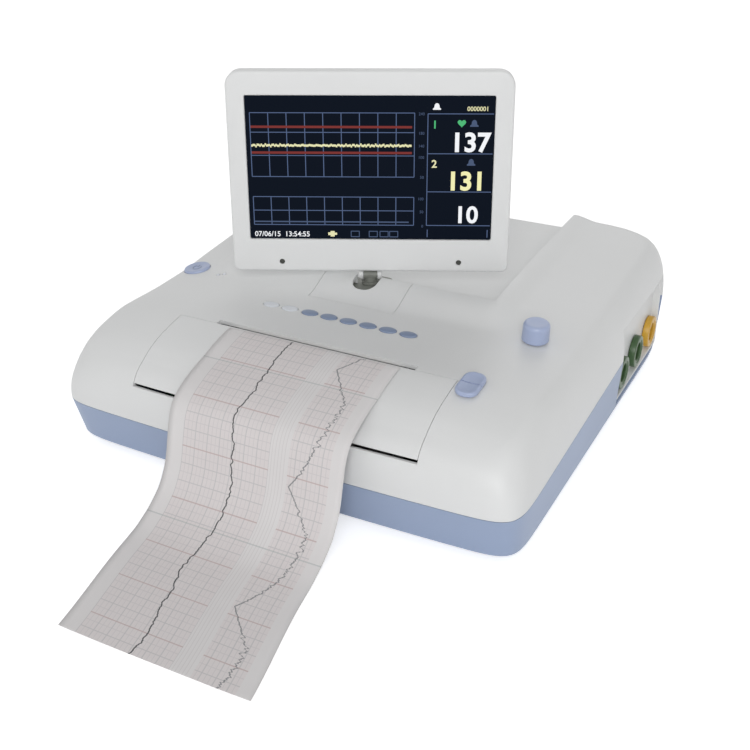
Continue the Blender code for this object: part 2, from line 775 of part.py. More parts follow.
def carrier_posts(solids):
    """Posts that hold the key board and the power switch's board from above."""
    for x, y in corners(grown(key_board_box(), -CARRIER_POST_RADIUS)):
        solids.rod(CARRIER_POST_RADIUS, key_board_top() + GAP, DECK_REAR_Z, upright(x, y),
                   SMALL_SIDES)
    reach = POWER_BOARD_HALF - CARRIER_POST_RADIUS
    for x, y in corners((-reach, -reach, reach, reach)):
        frame = deck_frame(POWER_X, POWER_Y) @ upright(x, y)
        solids.rod(CARRIER_POST_RADIUS, POWER_BOARD_TOP + GAP, 0, frame, SMALL_SIDES)


def door_arms(solids, near, far, radius):
    """Round shapes on the door's axis, on both sides."""
    for side in (-1, 1):
        solids.rod(radius, *sorted((side * near, side * far)),
                   along_x(0, DOOR_AXIS_Y, DOOR_AXIS_Z), SMALL_SIDES)


def case_bosses():
    """Screw bosses, carrier posts and the door rod's bosses inside the upper case."""
    solids = Solids()
    screw_bosses(solids)
    carrier_posts(solids)
    near = DOOR_HALF + 2 * GAP
    door_arms(solids, near, near + DOOR_BOSS_THICK, DOOR_BOSS_RADIUS)
    return under_skin(solids, "case_bosses")


def recess_block(name, margin=0):
    """The screen recess, open above and behind."""
    low = (RECESS_CENTRE_X - RECESS_HALF - margin, RECESS_FRONT_Y - margin,
           RECESS_FLOOR_Z - margin)
    high = (RECESS_CENTRE_X + RECESS_HALF + margin, HALF_DEPTH + OVERRUN, SKY_Z)
    return Solids().block(low, high).done(name)


def door_cut():
    """The door's opening in the deck and front."""
    half = DOOR_HALF + GAP
    return Solids().block((-half, -HALF_DEPTH - OVERRUN, DOOR_LOW_Z - DOOR_GAP),
                          (half, DOOR_REAR_Y + GAP, DECK_REAR_Z)).done("door_cut")


def slot_cut():
    """The paper slot behind the door."""
    return Solids().block((-SLOT_HALF, DOOR_REAR_Y - OVERRUN, DOOR_LOW_Z),
                          (SLOT_HALF, DOOR_REAR_Y + SLOT_WIDTH, DECK_REAR_Z)).done("slot_cut")


def door_sweep():
    """The space that the door's front edge turns through, narrower where the front bows back."""
    stations = [(DOOR_HALF + GAP / 2) * k / 4 for k in range(-4, 5)]
    profile = [(DOOR_SWEEP - FRONT_BOW * (x / HALF_WIDTH) ** 2, x) for x in stations]
    return Solids().lathe(profile, along_x(0, DOOR_AXIS_Y, DOOR_AXIS_Z)).done("door_sweep")


def cover_cut():
    """The hinge cover's opening over the recess's front wall."""
    return Solids().block((COVER_LEFT_X - GAP, COVER_FRONT_Y - GAP, RECESS_FLOOR_Z - GAP),
                          (COVER_RIGHT_X + GAP, RECESS_FRONT_Y + GAP,
                           SKY_Z)).done("cover_cut")


def cover_opening():
    """The rest of that opening, in front of the recess wall and right through the deck."""
    return Solids().block((COVER_LEFT_X - GAP, COVER_FRONT_Y - GAP,
                           RECESS_FLOOR_Z - 2 * OVERRUN),
                          (COVER_RIGHT_X + GAP, RECESS_FRONT_Y - WALL - GAP,
                           SKY_Z)).done("cover_opening")


def deck_holes():
    """Holes for the keys, windows, lamps, power button, knob and latch."""
    solids = Solids()
    deep = -WALL - OVERRUN
    for x, y in window_places() + key_places():
        outline = oval(KEY_HALF_LENGTH + GAP, KEY_HALF_WIDTH + GAP)
        solids.prism(outline, deep, OVERRUN, deck_frame(x, y))
    for x, y in led_places():
        solids.rod(LED_RADIUS + GAP, deep, OVERRUN, deck_frame(x, y), SMALL_SIDES)
    solids.rod(POWER_RADIUS + GAP, deep, OVERRUN, deck_frame(POWER_X, POWER_Y))
    solids.rod(ENCODER_SHAFT_RADIUS + GAP, deep, OVERRUN, deck_frame(KNOB_X, KNOB_Y))
    half_width = LATCH_STEM_WIDTH / 2 + GAP
    half_length = LATCH_STEM_LENGTH / 2 + GAP
    solids.block((-half_width, -half_length, deep),
                 (half_width, half_length + LATCH_TRAVEL, OVERRUN), latch_frame())
    return solids.done("deck_holes")


def bay_block(name):
    """The socket bay in the right side, open outwards."""
    return Solids().block((BAY_BACK_X, BAY_FRONT_Y, BAY_LOW_Z),
                          (HALF_WIDTH + OVERRUN, BAY_REAR_Y, BAY_HIGH_Z)).done(name)


def upper_bores():
    """Screw bores, the door rod's bores and the hinge spindle's hole."""
    solids = Solids()
    tip = FOOT_HEIGHT + SCREW_SINK + SCREW_HEAD_HEIGHT + SCREW_LENGTH + GAP
    for x, y in screw_places():
        solids.rod(SCREW_RADIUS + GAP, PILLAR_TOP_Z - OVERRUN, tip, upright(x, y), SMALL_SIDES)
    door_arms(solids, DOOR_HALF, DOOR_HALF + 3 * GAP + DOOR_BOSS_THICK, DOOR_ROD_RADIUS + GAP)
    solids.rod(SPINDLE_RADIUS + GAP, RECESS_FLOOR_Z - WALL - OVERRUN, RECESS_FLOOR_Z + OVERRUN,
               upright(HINGE_X, HINGE_Y))
    return solids.done("upper_bores")


def upper_case():
    """The white deck and walls, with the recess, the door's opening and the bay."""
    case = upper_loft("upper_case", finish="white_plastic")
    cavity = upper_loft("upper_cavity", WALL, WALL, OVERRUN, 2 * LINE_STEP)
    combine(cavity, recess_block("recess_shell", WALL), "DIFFERENCE")
    combine(case, cavity, "DIFFERENCE")
    combine(case, case_bosses(), "UNION")
    cuts = (recess_block("recess"), door_cut(), slot_cut(), door_sweep(), cover_cut(),
            cover_opening(), deck_holes(), bay_block("bay_upper"), upper_bores())
    for cut in cuts:
        combine(case, cut, "DIFFERENCE")


def floor_pillars():
    """Screw pillars, and posts whose pegs hold the boards, on the lower case's floor."""
    solids = Solids()
    for x, y in screw_places():
        solids.rod(PILLAR_RADIUS, FOOT_HEIGHT + WALL / 2, PILLAR_TOP_Z, upright(x, y),
                   SMALL_SIDES)
    seat = FLOOR_Z + BOARD_LIFT - GAP
    profile = [(BOARD_POST_RADIUS, FLOOR_Z - WALL / 2), (BOARD_POST_RADIUS, seat),
               (BOARD_PEG_RADIUS, seat), (BOARD_PEG_RADIUS, seat + BOARD_PEG_HEIGHT)]
    for x, y in hole_places(MAIN_BOARD) + hole_places(POWER_BOARD):
        solids.lathe(profile, upright(x, y), SMALL_SIDES)
    return solids.done("floor_pillars")


def floor_holes():
    """Screw holes with their counterbores and the grille slots."""
    solids = Solids()
    head_top = FOOT_HEIGHT + SCREW_SINK + SCREW_HEAD_HEIGHT + GAP
    for x, y in screw_places():
        profile = [(SCREW_HEAD_RADIUS + GAP, FOOT_HEIGHT - OVERRUN),
                   (SCREW_HEAD_RADIUS + GAP, head_top), (SCREW_RADIUS + GAP, head_top),
                   (SCREW_RADIUS + GAP, PILLAR_TOP_Z + OVERRUN)]
        solids.lathe(profile, upright(x, y), SMALL_SIDES)
    half = GRILLE_LENGTH / 2
    for k in range(GRILLE_SLOTS):
        y = SPEAKER_Y + GRILLE_PITCH * (k - (GRILLE_SLOTS - 1) / 2)
        solids.block((SPEAKER_X - half, y - GRILLE_WIDTH / 2, FOOT_HEIGHT - OVERRUN),
                     (SPEAKER_X + half, y + GRILLE_WIDTH / 2, FLOOR_Z + OVERRUN / 2))
    return solids.done("floor_holes")


def hatch_hole():
    """The battery opening: wide below for the hatch, narrower above."""
    wide = corners(grown(BATTERY, HATCH_MARGIN + GAP))
    narrow = corners(grown(BATTERY, HATCH_MARGIN - HATCH_LEDGE))
    step = FOOT_HEIGHT + HATCH_THICK + GAP
    levels = [(wide, FOOT_HEIGHT - OVERRUN), (wide, step), (narrow, step),
              (narrow, FLOOR_Z + OVERRUN)]
    return Solids().stack(levels).done("hatch_hole")


def port_holes():
    """Openings in the rear wall for the inlet and the data port."""
    solids = Solids()
    sizes = ((INLET_X, INLET_HALF, INLET_HALF), (SERIAL_X, SERIAL_HALF_WIDTH, SERIAL_HALF_HEIGHT))
    for x, half_width, half_height in sizes:
        solids.block((x - half_width - GAP, HALF_DEPTH - INLET_DEPTH,
                      PORT_Z - half_height - GAP),
                     (x + half_width + GAP, HALF_DEPTH + OVERRUN, PORT_Z + half_height + GAP))
    return solids.done("port_holes")


def lower_case():
    """The blue tray that carries everything inside."""
    case = lower_loft("lower_case", finish="blue_plastic")
    combine(case, lower_loft("lower_cavity", WALL, OVERRUN, FLOOR_Z), "DIFFERENCE")
    combine(case, floor_pillars(), "UNION")
    for cut in (floor_holes(), hatch_hole(), port_holes(), bay_block("bay_lower")):
        combine(case, cut, "DIFFERENCE")


def hatch_and_battery():
    """The battery hatch in the floor and the pack that lies on it."""
    top = FOOT_HEIGHT + HATCH_THICK
    hatch = corners(grown(BATTERY, HATCH_MARGIN))
    Solids().prism(hatch, FOOT_HEIGHT, top).done("battery_cover", "blue_plastic")
    Solids().prism(corners(BATTERY), top + GAP, top + GAP + BATTERY_HEIGHT).done(
        "battery_pack", "battery_wrap")


def case_screws():
    """The screws that hold the halves together, driven from below."""
    low = FOOT_HEIGHT + SCREW_SINK
    head = low + SCREW_HEAD_HEIGHT
    profile = [(SCREW_HEAD_RADIUS, low), (SCREW_HEAD_RADIUS, head), (SCREW_RADIUS, head),
               (SCREW_RADIUS, head + SCREW_LENGTH)]
    for number, (x, y) in enumerate(screw_places(), 1):
        Solids().lathe(profile, upright(x, y), SMALL_SIDES).done(f"case_screw_{number}", "steel")


def rubber_feet():
    profile = [(FOOT_RADIUS - FOOT_ROUND, 0), (FOOT_RADIUS, FOOT_ROUND),
               (FOOT_RADIUS, FOOT_HEIGHT - GAP)]
    names = ("front_left", "front_right", "rear_right", "rear_left")
    for name, (x, y) in zip(names, corners((-FOOT_X, -FOOT_Y, FOOT_X, FOOT_Y))):
        Solids().lathe(profile, upright(x, y)).done(f"foot_{name}", "black_rubber")


# Screen and its hinge

FACING = Matrix.Rotation(math.pi / 2, 4, "X")
TILT_LINE = along_x(0, 0, 0)


def screen_outline(inset=0):
    """The screen's outline in its own X and height, with larger corners at the top."""
    top = max(SCREEN_TOP_CORNER - inset, SCREEN_WALL)
    low = max(SCREEN_LOW_CORNER - inset, SCREEN_WALL)
    return rounded(SCREEN_WIDTH - 2 * inset, SCREEN_HEIGHT - 2 * inset, top,
                   (0, SCREEN_BOTTOM + SCREEN_HEIGHT / 2), low_radius=low)


def window_outline(margin=0):
    return rounded(WINDOW_WIDTH + 2 * margin, WINDOW_HEIGHT + 2 * margin, WINDOW_CORNER,
                   (0, SCREEN_BOTTOM + WINDOW_UP + WINDOW_HEIGHT / 2))


def screen_bezel(parent):
    """The white front frame: a tray with the window in its floor and two screw pockets."""
    front = SCREEN_FRONT
    back = front - BEZEL_DEPTH
    levels = [(screen_outline(BEZEL_ROUND), front), (screen_outline(), front - BEZEL_ROUND),
              (screen_outline(), back), (screen_outline(SCREEN_WALL), back),
              (screen_outline(SCREEN_WALL), front - SCREEN_WALL),
              (window_outline(), front - SCREEN_WALL), (window_outline(), front)]
    bezel = Solids().stack(levels, FACING, closed=True).done("screen_bezel", "white_plastic",
                                                            parent)
    pockets = Solids()
    for side in (-1, 1):
        frame = FACING @ upright(side * POCKET_X, SCREEN_BOTTOM + POCKET_UP)
        pockets.rod(POCKET_RADIUS, front - POCKET_DEPTH, front + OVERRUN, frame, SMALL_SIDES)
    combine(bezel, pockets.done("screw_pockets", parent=parent), "DIFFERENCE")


def screen_rear_cover(parent):
    """The pillow-shaped back with its two hinge ears."""
    front = SCREEN_FRONT - BEZEL_DEPTH - GAP
    back = front - REAR_COVER_DEPTH
    edge = front - REAR_COVER_EDGE
    levels = [(screen_outline(REAR_COVER_INSET), back), (screen_outline(), edge),
              (screen_outline(), front), (screen_outline(SCREEN_WALL), front),
              (screen_outline(SCREEN_WALL), edge),
              (screen_outline(REAR_COVER_INSET + SCREEN_WALL), back + SCREEN_WALL)]
    cover = Solids().stack(levels, FACING).done("screen_rear_cover", "white_plastic", parent,
                                               faceted=True)
    discs, necks = ears()
    combine(cover, discs.done("ear_discs", parent=parent), "UNION")
    combine(cover, necks.done("ear_necks", parent=parent), "UNION")
    bore = Solids().rod(PIN_RADIUS + GAP, -HINGE_PLATE_HALF, HINGE_PLATE_HALF, TILT_LINE,
                        SMALL_SIDES)
    combine(cover, bore.done("ear_bore", parent=parent), "DIFFERENCE")


def ears():
    """Discs on both sides of the knuckle, and necks from them up into the cover."""
    discs = Solids()
    necks = Solids()
    inner = KNUCKLE_HALF + GAP
    near = BEZEL_DEPTH - SCREEN_FRONT + GAP
    for low, high in ((-inner - EAR_THICK, -inner), (inner, inner + EAR_THICK)):
        discs.rod(KNUCKLE_RADIUS, low, high, TILT_LINE)
        necks.block((low, near, 0), (high, near + EAR_NECK, EAR_HEIGHT))
    return discs, necks


def lcd_module(parent):
    """The display panel behind the window."""
    front = SCREEN_FRONT - SCREEN_WALL - GAP
    Solids().prism(window_outline(PANEL_MARGIN), front - PANEL_DEPTH, front, FACING).done(
        "lcd_module", "screen_glass", parent)


def screen_board(parent):
    """The display's driver board behind the panel."""
    front = SCREEN_FRONT - SCREEN_WALL - PANEL_DEPTH - 2 * GAP
    outline = window_outline(-SCREEN_BOARD_INSET)
    Solids().prism(outline, front - SCREEN_BOARD_THICK, front, FACING).done(
        "screen_board", "board_green", parent)


def hinge_post(parent):
    """The swivelling post: a spindle below, a knuckle across its top."""
    foot = PLATE_TOP_Z + GAP - TILT_AXIS_Z
    collar = -KNUCKLE_RADIUS - 2 * GAP
    neck = KNUCKLE_HALF - GAP
    profile = [(SPINDLE_RADIUS, foot - SPINDLE_LENGTH), (SPINDLE_RADIUS, foot),
               (POST_RADIUS, foot), (POST_RADIUS, collar), (neck, collar), (neck, -POST_NECK)]
    post = Solids().lathe(profile).done("hinge_post", "dark_grey", parent)
    knuckle = Solids().rod(KNUCKLE_RADIUS, -KNUCKLE_HALF, KNUCKLE_HALF, TILT_LINE)
    combine(post, knuckle.done("knuckle", parent=parent), "UNION")
    bore = Solids().rod(PIN_RADIUS + GAP, -HINGE_PLATE_HALF, HINGE_PLATE_HALF, TILT_LINE,
                        SMALL_SIDES)
    combine(post, bore.done("knuckle_bore", parent=parent), "DIFFERENCE")


def hinge_fixings(parent):
    """The tilt pin, and the flanged nut on the spindle under the recess floor."""
    half = KNUCKLE_HALF + GAP + EAR_THICK
    Solids().rod(PIN_RADIUS, -half, half, TILT_LINE, SMALL_SIDES).done(
        "tilt_pin", "steel", parent)
    bore = oval(SPINDLE_RADIUS + GAP, SPINDLE_RADIUS + GAP)
    flange = oval(NUT_FLANGE_RADIUS, NUT_FLANGE_RADIUS)
    high = RECESS_FLOOR_Z - WALL - GAP - TILT_AXIS_Z
    middle = high - NUT_FLANGE_THICK
    low = middle - NUT_THICK
    levels = [(bore, low), (hexagon(NUT_RADIUS), low), (hexagon(NUT_RADIUS), middle),
              (flange, middle), (flange, high), (bore, high)]
    Solids().stack(levels, closed=True).done("hinge_nut", "steel", parent)


def hexagon(radius):
    """A hexagon of the given corner radius, with as many points as a round outline."""
    sector = 2 * math.pi / NUT_SIDES
    points = []
    for k in range(ROUND_SIDES):
        turn = 2 * math.pi * k / ROUND_SIDES
        reach = radius * math.cos(sector / 2) / math.cos(turn % sector - sector / 2)
        points.append((reach * math.cos(turn), reach * math.sin(turn)))
    return points


def plate_outline(margin=0):
    length = HINGE_PLATE_REAR_Y - HINGE_PLATE_FRONT_Y + 2 * margin
    return rounded(2 * (HINGE_PLATE_HALF + margin), length, HINGE_PLATE_CORNER,
                   (HINGE_X, (HINGE_PLATE_REAR_Y + HINGE_PLATE_FRONT_Y) / 2))


def hinge_base():
    """The bearing plate of the swivel on the recess floor."""
    low = RECESS_FLOOR_Z + GAP
    plate = Solids().prism(plate_outline(), low, PLATE_TOP_Z).done("hinge_base", "dark_grey")
    bore = Solids().rod(SPINDLE_RADIUS + GAP, low - OVERRUN, PLATE_TOP_Z + OVERRUN,
                        upright(HINGE_X, HINGE_Y))
    combine(plate, bore.done("plate_bore"), "DIFFERENCE")


def notch_outline(margin=0):
    """The cover's notch round the post, open to the recess."""
    rear = RECESS_FRONT_Y + 2 * OVERRUN
    return rounded(2 * (NOTCH_HALF + margin), rear - NOTCH_FRONT_Y + 2 * margin,
                   NOTCH_CORNER + margin, (NOTCH_X, (rear + NOTCH_FRONT_Y) / 2))


def cover_walls():
    """The cover's rear skirt, which stands on the recess's front wall, and its notch wall."""
    low = RECESS_FLOOR_Z - OVERRUN
    skirt = Solids().block((COVER_LEFT_X - OVERRUN, RECESS_FRONT_Y - WALL, low),
                           (COVER_RIGHT_X + OVERRUN, RECESS_FRONT_Y + OVERRUN, SKY_Z))
    wall = Solids().prism(notch_outline(NOTCH_WALL), PLATE_TOP_Z + 2 * GAP, SKY_Z)
    return combine(under_skin(skirt, "cover_skirt"), under_skin(wall, "notch_wall"), "UNION")


def hinge_cover():
    """The cover plate over the hinge: a piece of the deck with a skirt and a notch."""
    cover = upper_loft("hinge_cover", finish="white_plastic")
    combine(cover, upper_loft("cover_underside", WALL, WALL, OVERRUN), "DIFFERENCE")
    combine(cover, cover_walls(), "UNION")
    low = RECESS_FLOOR_Z
    region = Solids().block((COVER_LEFT_X, COVER_FRONT_Y, low),
                            (COVER_RIGHT_X, RECESS_FRONT_Y, SKY_Z))
    combine(cover, region.done("cover_region"), "INTERSECT")
    notch = Solids().prism(notch_outline(), low - OVERRUN, SKY_Z)
    combine(cover, notch.done("notch"), "DIFFERENCE")
    turning = math.hypot(KNUCKLE_HALF + GAP + EAR_THICK, KNUCKLE_RADIUS) + GAP
    room = Solids().rod(turning, low - OVERRUN, SKY_Z, upright(HINGE_X, HINGE_Y))
    combine(cover, room.done("ear_room"), "DIFFERENCE")
    plate = Solids().prism(plate_outline(GAP), low - OVERRUN, PLATE_TOP_Z + GAP)
    combine(cover, plate.done("plate_room"), "DIFFERENCE")


# Printer

def printer_door(parent):
    """The door over the paper: a piece of the case's skin with hinge arms and cheeks."""
    door = upper_loft("printer_door", finish="white_plastic")
    combine(door, upper_loft("door_underside", WALL, WALL, OVERRUN), "DIFFERENCE")
    region = Solids().block((-DOOR_HALF, -HALF_DEPTH - OVERRUN, DOOR_LOW_Z),
                            (DOOR_HALF, DOOR_REAR_Y, DECK_REAR_Z))
    combine(door, region.done("door_region"), "INTERSECT")
    combine(door, door_fittings(), "UNION")
    combine(door, door_bores(), "DIFFERENCE")
    door.data.transform(Matrix.Translation(-parent.location))
    door.parent = parent


def door_fittings():
    """Hinge arms, roller cheeks and the catch lug on the door's inner side."""
    solids = Solids()
    far = DOOR_HALF - GAP
    door_arms(solids, far - DOOR_BOSS_THICK, far, DOOR_BOSS_RADIUS)
    for side in (-1, 1):
        low, high = sorted((side * CHEEK_X, side * (CHEEK_X + CHEEK_THICK)))
        solids.block((low, ROLLER_Y - CHEEK_WIDTH / 2, ROLLER_Z - CHEEK_DROP),
                     (high, ROLLER_Y + CHEEK_WIDTH / 2, DECK_REAR_Z))
    top = deck_height(DOOR_LUG_X, DOOR_LUG_Y)
    solids.block((DOOR_LUG_X, DOOR_LUG_Y - DOOR_LUG_THICK, top - DOOR_LUG_DROP),
                 (DOOR_LUG_X + DOOR_LUG_LENGTH, DOOR_LUG_Y, top))
    return under_skin(solids, "door_fittings")


def door_bores():
    """The groove and bores for the hinge rod, and the cheeks' bores for the roller shaft."""
    solids = Solids()
    far = DOOR_HALF + OVERRUN
    solids.rod(DOOR_ROD_RADIUS + GAP, -far, far, along_x(0, DOOR_AXIS_Y, DOOR_AXIS_Z),
               SMALL_SIDES)
    for side in (-1, 1):
        span = sorted((side * (CHEEK_X - OVERRUN), side * (CHEEK_X + OVERRUN)))
        solids.rod(SHAFT_RADIUS + GAP, *span, along_x(0, ROLLER_Y, ROLLER_Z), SMALL_SIDES)
    return solids.done("door_bores")


def door_hinge_rod():
    """The rod through the case's bosses and the door's arms, right across the door."""
    far = DOOR_HALF + 2 * GAP + DOOR_BOSS_THICK
    Solids().rod(DOOR_ROD_RADIUS, -far, far, along_x(0, DOOR_AXIS_Y, DOOR_AXIS_Z),
                 SMALL_SIDES).done("door_hinge_rod", "steel")


def involute(angle):
    return math.tan(angle) - angle


def gear_outline(teeth, phase):
    """A gear's outline of root, pitch and tip points; the phase is a tooth's middle angle."""
    pitch = GEAR_MODULE * teeth / 2
    base = pitch * math.cos(PRESSURE_ANGLE)
    root = pitch - GEAR_MODULE * GEAR_DEDENDUM_SHARE
    tip = pitch + GEAR_MODULE * GEAR_ADDENDUM_SHARE
    half_tooth = math.pi / (2 * teeth) - GEAR_BACKLASH / (2 * pitch) + involute(PRESSURE_ANGLE)
    flank = [(root, half_tooth)]
    for radius in (pitch, tip):
        flank.append((radius, half_tooth - involute(math.acos(base / radius))))
    points = []
    for k in range(teeth):
        middle = phase + 2 * math.pi * k / teeth
        turned = [(r, middle - a) for r, a in flank] + [(r, middle + a) for r, a in flank[::-1]]
        points += [(r * math.cos(a), r * math.sin(a)) for r, a in turned]
    return points


def gear(teeth, phase, bore):
    """A spur gear on the X axis, as a closed ring between its teeth and its bore."""
    rim = gear_outline(teeth, phase)
    turns = [math.atan2(y, x) for x, y in rim]
    hole = [(bore * math.cos(t), bore * math.sin(t)) for t in turns]
    levels = [(rim, 0), (rim, GEAR_WIDTH), (hole, GEAR_WIDTH), (hole, 0)]
    return Solids().stack(levels, along_x(GEAR_X, 0, 0), closed=True)


def platen(parent):
    """The rubber roller, its shaft and the drive gear on it, all on the door."""
    Solids().tube(ROLLER_RADIUS, SHAFT_RADIUS + GAP, -ROLLER_HALF, ROLLER_HALF,
                  TILT_LINE).done("platen_roller", "black_rubber", parent)
    Solids().rod(SHAFT_RADIUS, -CHEEK_X - CHEEK_THICK, GEAR_X + GEAR_WIDTH, TILT_LINE).done(
        "roller_shaft", "steel", parent)
    bearing = math.atan2(PINION_Y - ROLLER_Y, ROLLER_Z - PINION_Z)
    gear(ROLLER_TEETH, bearing + math.pi / ROLLER_TEETH, SHAFT_RADIUS + GAP).done(
        "roller_gear", "lamp_white", parent)


def motor(parent):
    """The stepper motor on the bridge and the pinion that it turns."""
    bearing = math.atan2(PINION_Y - ROLLER_Y, ROLLER_Z - PINION_Z)
    wheel = gear(PINION_TEETH, bearing + math.pi, MOTOR_SHAFT_RADIUS / 2).done(
        "motor_pinion", "brass", parent)
    low = BRIDGE_RIGHT_X + GAP
    shaft = Solids().rod(MOTOR_SHAFT_RADIUS, GEAR_X, low + MOTOR_BORE_DEPTH - GAP, TILT_LINE,
                         SMALL_SIDES)
    combine(wheel, shaft.done("pinion_shaft", parent=parent), "UNION")
    line = along_x(0, PINION_Y, PINION_Z)
    body = Solids().rod(MOTOR_RADIUS, low, low + MOTOR_LENGTH, line).done(
        "stepper_motor", "steel")
    bore = Solids().rod(MOTOR_SHAFT_RADIUS + GAP, low - OVERRUN, low + MOTOR_BORE_DEPTH, line,
                        SMALL_SIDES)
    combine(body, bore.done("motor_bore"), "DIFFERENCE")


def print_bridge():
    """The steel bracket over the paper tray that carries the head and the motor."""
    steel = BRIDGE_STEEL
    left, right, rear = BRIDGE_LEFT_X, BRIDGE_RIGHT_X, BRIDGE_REAR_Y
    outline = [(left, BRIDGE_FRONT_Y), (left + steel, BRIDGE_FRONT_Y),
               (left + steel, rear - steel), (right - steel, rear - steel),
               (right - steel, BRIDGE_FRONT_Y), (right, BRIDGE_FRONT_Y), (right, rear),
               (left, rear)]
    bridge = Solids().prism(outline, FLOOR_Z + GAP, BRIDGE_TOP_Z).done("print_bridge", "steel")
    under = Solids().block((left + 2 * steel, rear - OVERRUN, 0),
                           (right - 2 * steel, rear + OVERRUN, BRIDGE_LOW_Z))
    over = Solids().block((left - OVERRUN, BRIDGE_FRONT_Y - OVERRUN, BRIDGE_CHEEK_TOP_Z),
                          (right + OVERRUN, rear - 2 * steel, DECK_REAR_Z))
    hole = Solids().rod(2 * MOTOR_SHAFT_RADIUS, right - OVERRUN, right + OVERRUN,
                        along_x(0, PINION_Y, PINION_Z), SMALL_SIDES)
    for cut, name in ((under, "bridge_window"), (over, "bridge_top"), (hole, "bridge_hole")):
        combine(bridge, cut.done(name), "DIFFERENCE")


def print_head():
    """The ceramic print head and the aluminium block behind it."""
    Solids().block((-HEAD_HALF, HEAD_FRONT_Y, HEAD_LOW_Z),
                   (HEAD_HALF, HEAD_REAR_Y, HEAD_TOP_Z)).done("thermal_head", "ceramic")
    Solids().block((-HEAD_HALF, HEAD_REAR_Y + GAP, HEAD_LOW_Z),
                   (HEAD_HALF, SINK_REAR_Y, BRIDGE_TOP_Z)).done("head_sink", "aluminium")


def paper_box():
    """Plan of the folded paper in its tray."""
    front = TRAY_FRONT_Y + TRAY_WALL + TRAY_CLEARANCE
    return (PAPER_X - PAPER_WIDTH / 2, front, PAPER_X + PAPER_WIDTH / 2, front + PAPER_FOLD)


def pack_top_z():
    return FLOOR_Z + TRAY_WALL + 2 * GAP + PAPER_STACK


def paper_supply():
    """The open tray on the case's floor and the fan-folded stack in it."""
    low = FLOOR_Z + GAP
    inner = corners(grown(paper_box(), TRAY_CLEARANCE))
    outer = corners(grown(paper_box(), TRAY_CLEARANCE + TRAY_WALL))
    levels = [(outer, low), (outer, low + TRAY_HEIGHT), (inner, low + TRAY_HEIGHT),
              (inner, low + TRAY_WALL)]
    Solids().stack(levels).done("paper_tray", "white_plastic")
    Solids().prism(corners(paper_box()), pack_top_z() - PAPER_STACK, pack_top_z()).done(
        "paper_pack", "paper")


def paper_route():
    """The strip's middle line in Y and Z: up from the stack, round the door and down."""
    nip_y = NIP_Y + NIP / 2
    low_y = paper_box()[1] + TRAY_CLEARANCE
    low_z = pack_top_z() + GAP + PAPER_THICK
    route = [(low_y + (nip_y - low_y) * a, low_z + (DOOR_LOW_Z - low_z) * b)
             for a, b in zip(PAPER_RISE_Y_SHARES, PAPER_RISE_Z_SHARES)]
    edge_z = float(deck_height(0, DOOR_REAR_Y))
    route += [(nip_y, HEAD_TOP_Z), (nip_y + GAP, edge_z), (nip_y, edge_z + PAPER_CLEAR)]
    for share in PAPER_DOOR_Y_SHARES:
        y = DOOR_REAR_Y - (HALF_DEPTH + DOOR_REAR_Y) * share
        route.append((y, float(deck_height(0, y)) + PAPER_CLEAR))
    last_y, last_z = route[-1]
    end_z = PAPER_THICK + GAP / 2
    route += [(last_y + (PAPER_END_Y - last_y) * a, end_z + (last_z - end_z) * b)
              for a, b in zip(PAPER_FALL_Y_SHARES, PAPER_FALL_Z_SHARES)]
    return route


def paper_strip():
    """The printed strip as a thin band that lies slightly askew on the table."""
    route = [Vector(p) for p in paper_route()]
    rings = []
    for k, spot in enumerate(route):
        along = (route[min(k + 1, len(route) - 1)] - route[max(k - 1, 0)]).normalized()
        side = Vector((-along.y, along.x)) * (PAPER_THICK / 2)
        share = (spot.x - PAPER_SKEW_START_Y) / (PAPER_END_Y - PAPER_SKEW_START_Y)
        share = min(max(share, 0), 1)
        middle = PAPER_X + PAPER_SKEW * share * share * (2 - share)
        left = middle - PAPER_WIDTH / 2
        right = middle + PAPER_WIDTH / 2
        low, high = spot - side, spot + side
        rings.append([(left, *low), (right, *low), (right, *high), (left, *high)])
    Solids().rings(rings).done("paper_strip", "paper", faceted=True)


# Deck controls

def keys():
    """The keys, each its own piece."""
    flange = oval(KEY_HALF_LENGTH + KEY_FLANGE, KEY_HALF_WIDTH + KEY_FLANGE)
    stem = oval(KEY_HALF_LENGTH, KEY_HALF_WIDTH)
    crown = oval(KEY_HALF_LENGTH - KEY_ROUND, KEY_HALF_WIDTH - KEY_ROUND)
    high = -WALL - GAP
    levels = [(flange, high - KEY_FLANGE), (flange, high), (stem, high),
              (stem, KEY_PROUD - KEY_ROUND), (crown, KEY_PROUD)]
    for number, place in enumerate(key_places(), 1):
        axis = deck_axis(f"key_{number}_axis", deck_frame(*place))
        Solids().stack(levels).done(f"key_{number}", "key_blue", axis)


def indicator_windows():
    """The light guide beside the keys: two windows on one bar that stands on the key board."""
    stem = oval(KEY_HALF_LENGTH, KEY_HALF_WIDTH)
    low = key_board_top() + GAP
    windows = Solids()
    for place in window_places():
        foot = low + WINDOW_BAR / 2 - float(deck_height(*place))
        windows.prism(stem, foot, WINDOW_PROUD, deck_frame(*place))
    guide = windows.done("indicator_windows", "lamp_white")
    (left, y), (right, y) = window_places()
    bar = Solids().block((left, y - KEY_HALF_WIDTH / 2, low),
                         (right, y + KEY_HALF_WIDTH / 2, low + WINDOW_BAR))
    combine(guide, bar.done("window_bar"), "UNION")


def key_board():
    """The board under the keys with one switch for each."""
    top = key_board_top()
    board = Solids().prism(corners(key_board_box()), top - KEY_BOARD_THICK, top).done(
        "key_board", "board_green")
    switches = Solids()
    half = SWITCH_SIZE / 2
    for x, y in key_places():
        switches.prism(corners((x - half, y - half, x + half, y + half)),
                       top - KEY_BOARD_THICK / 2, top + SWITCH_HEIGHT)
    combine(board, switches.done("key_switches"), "UNION")


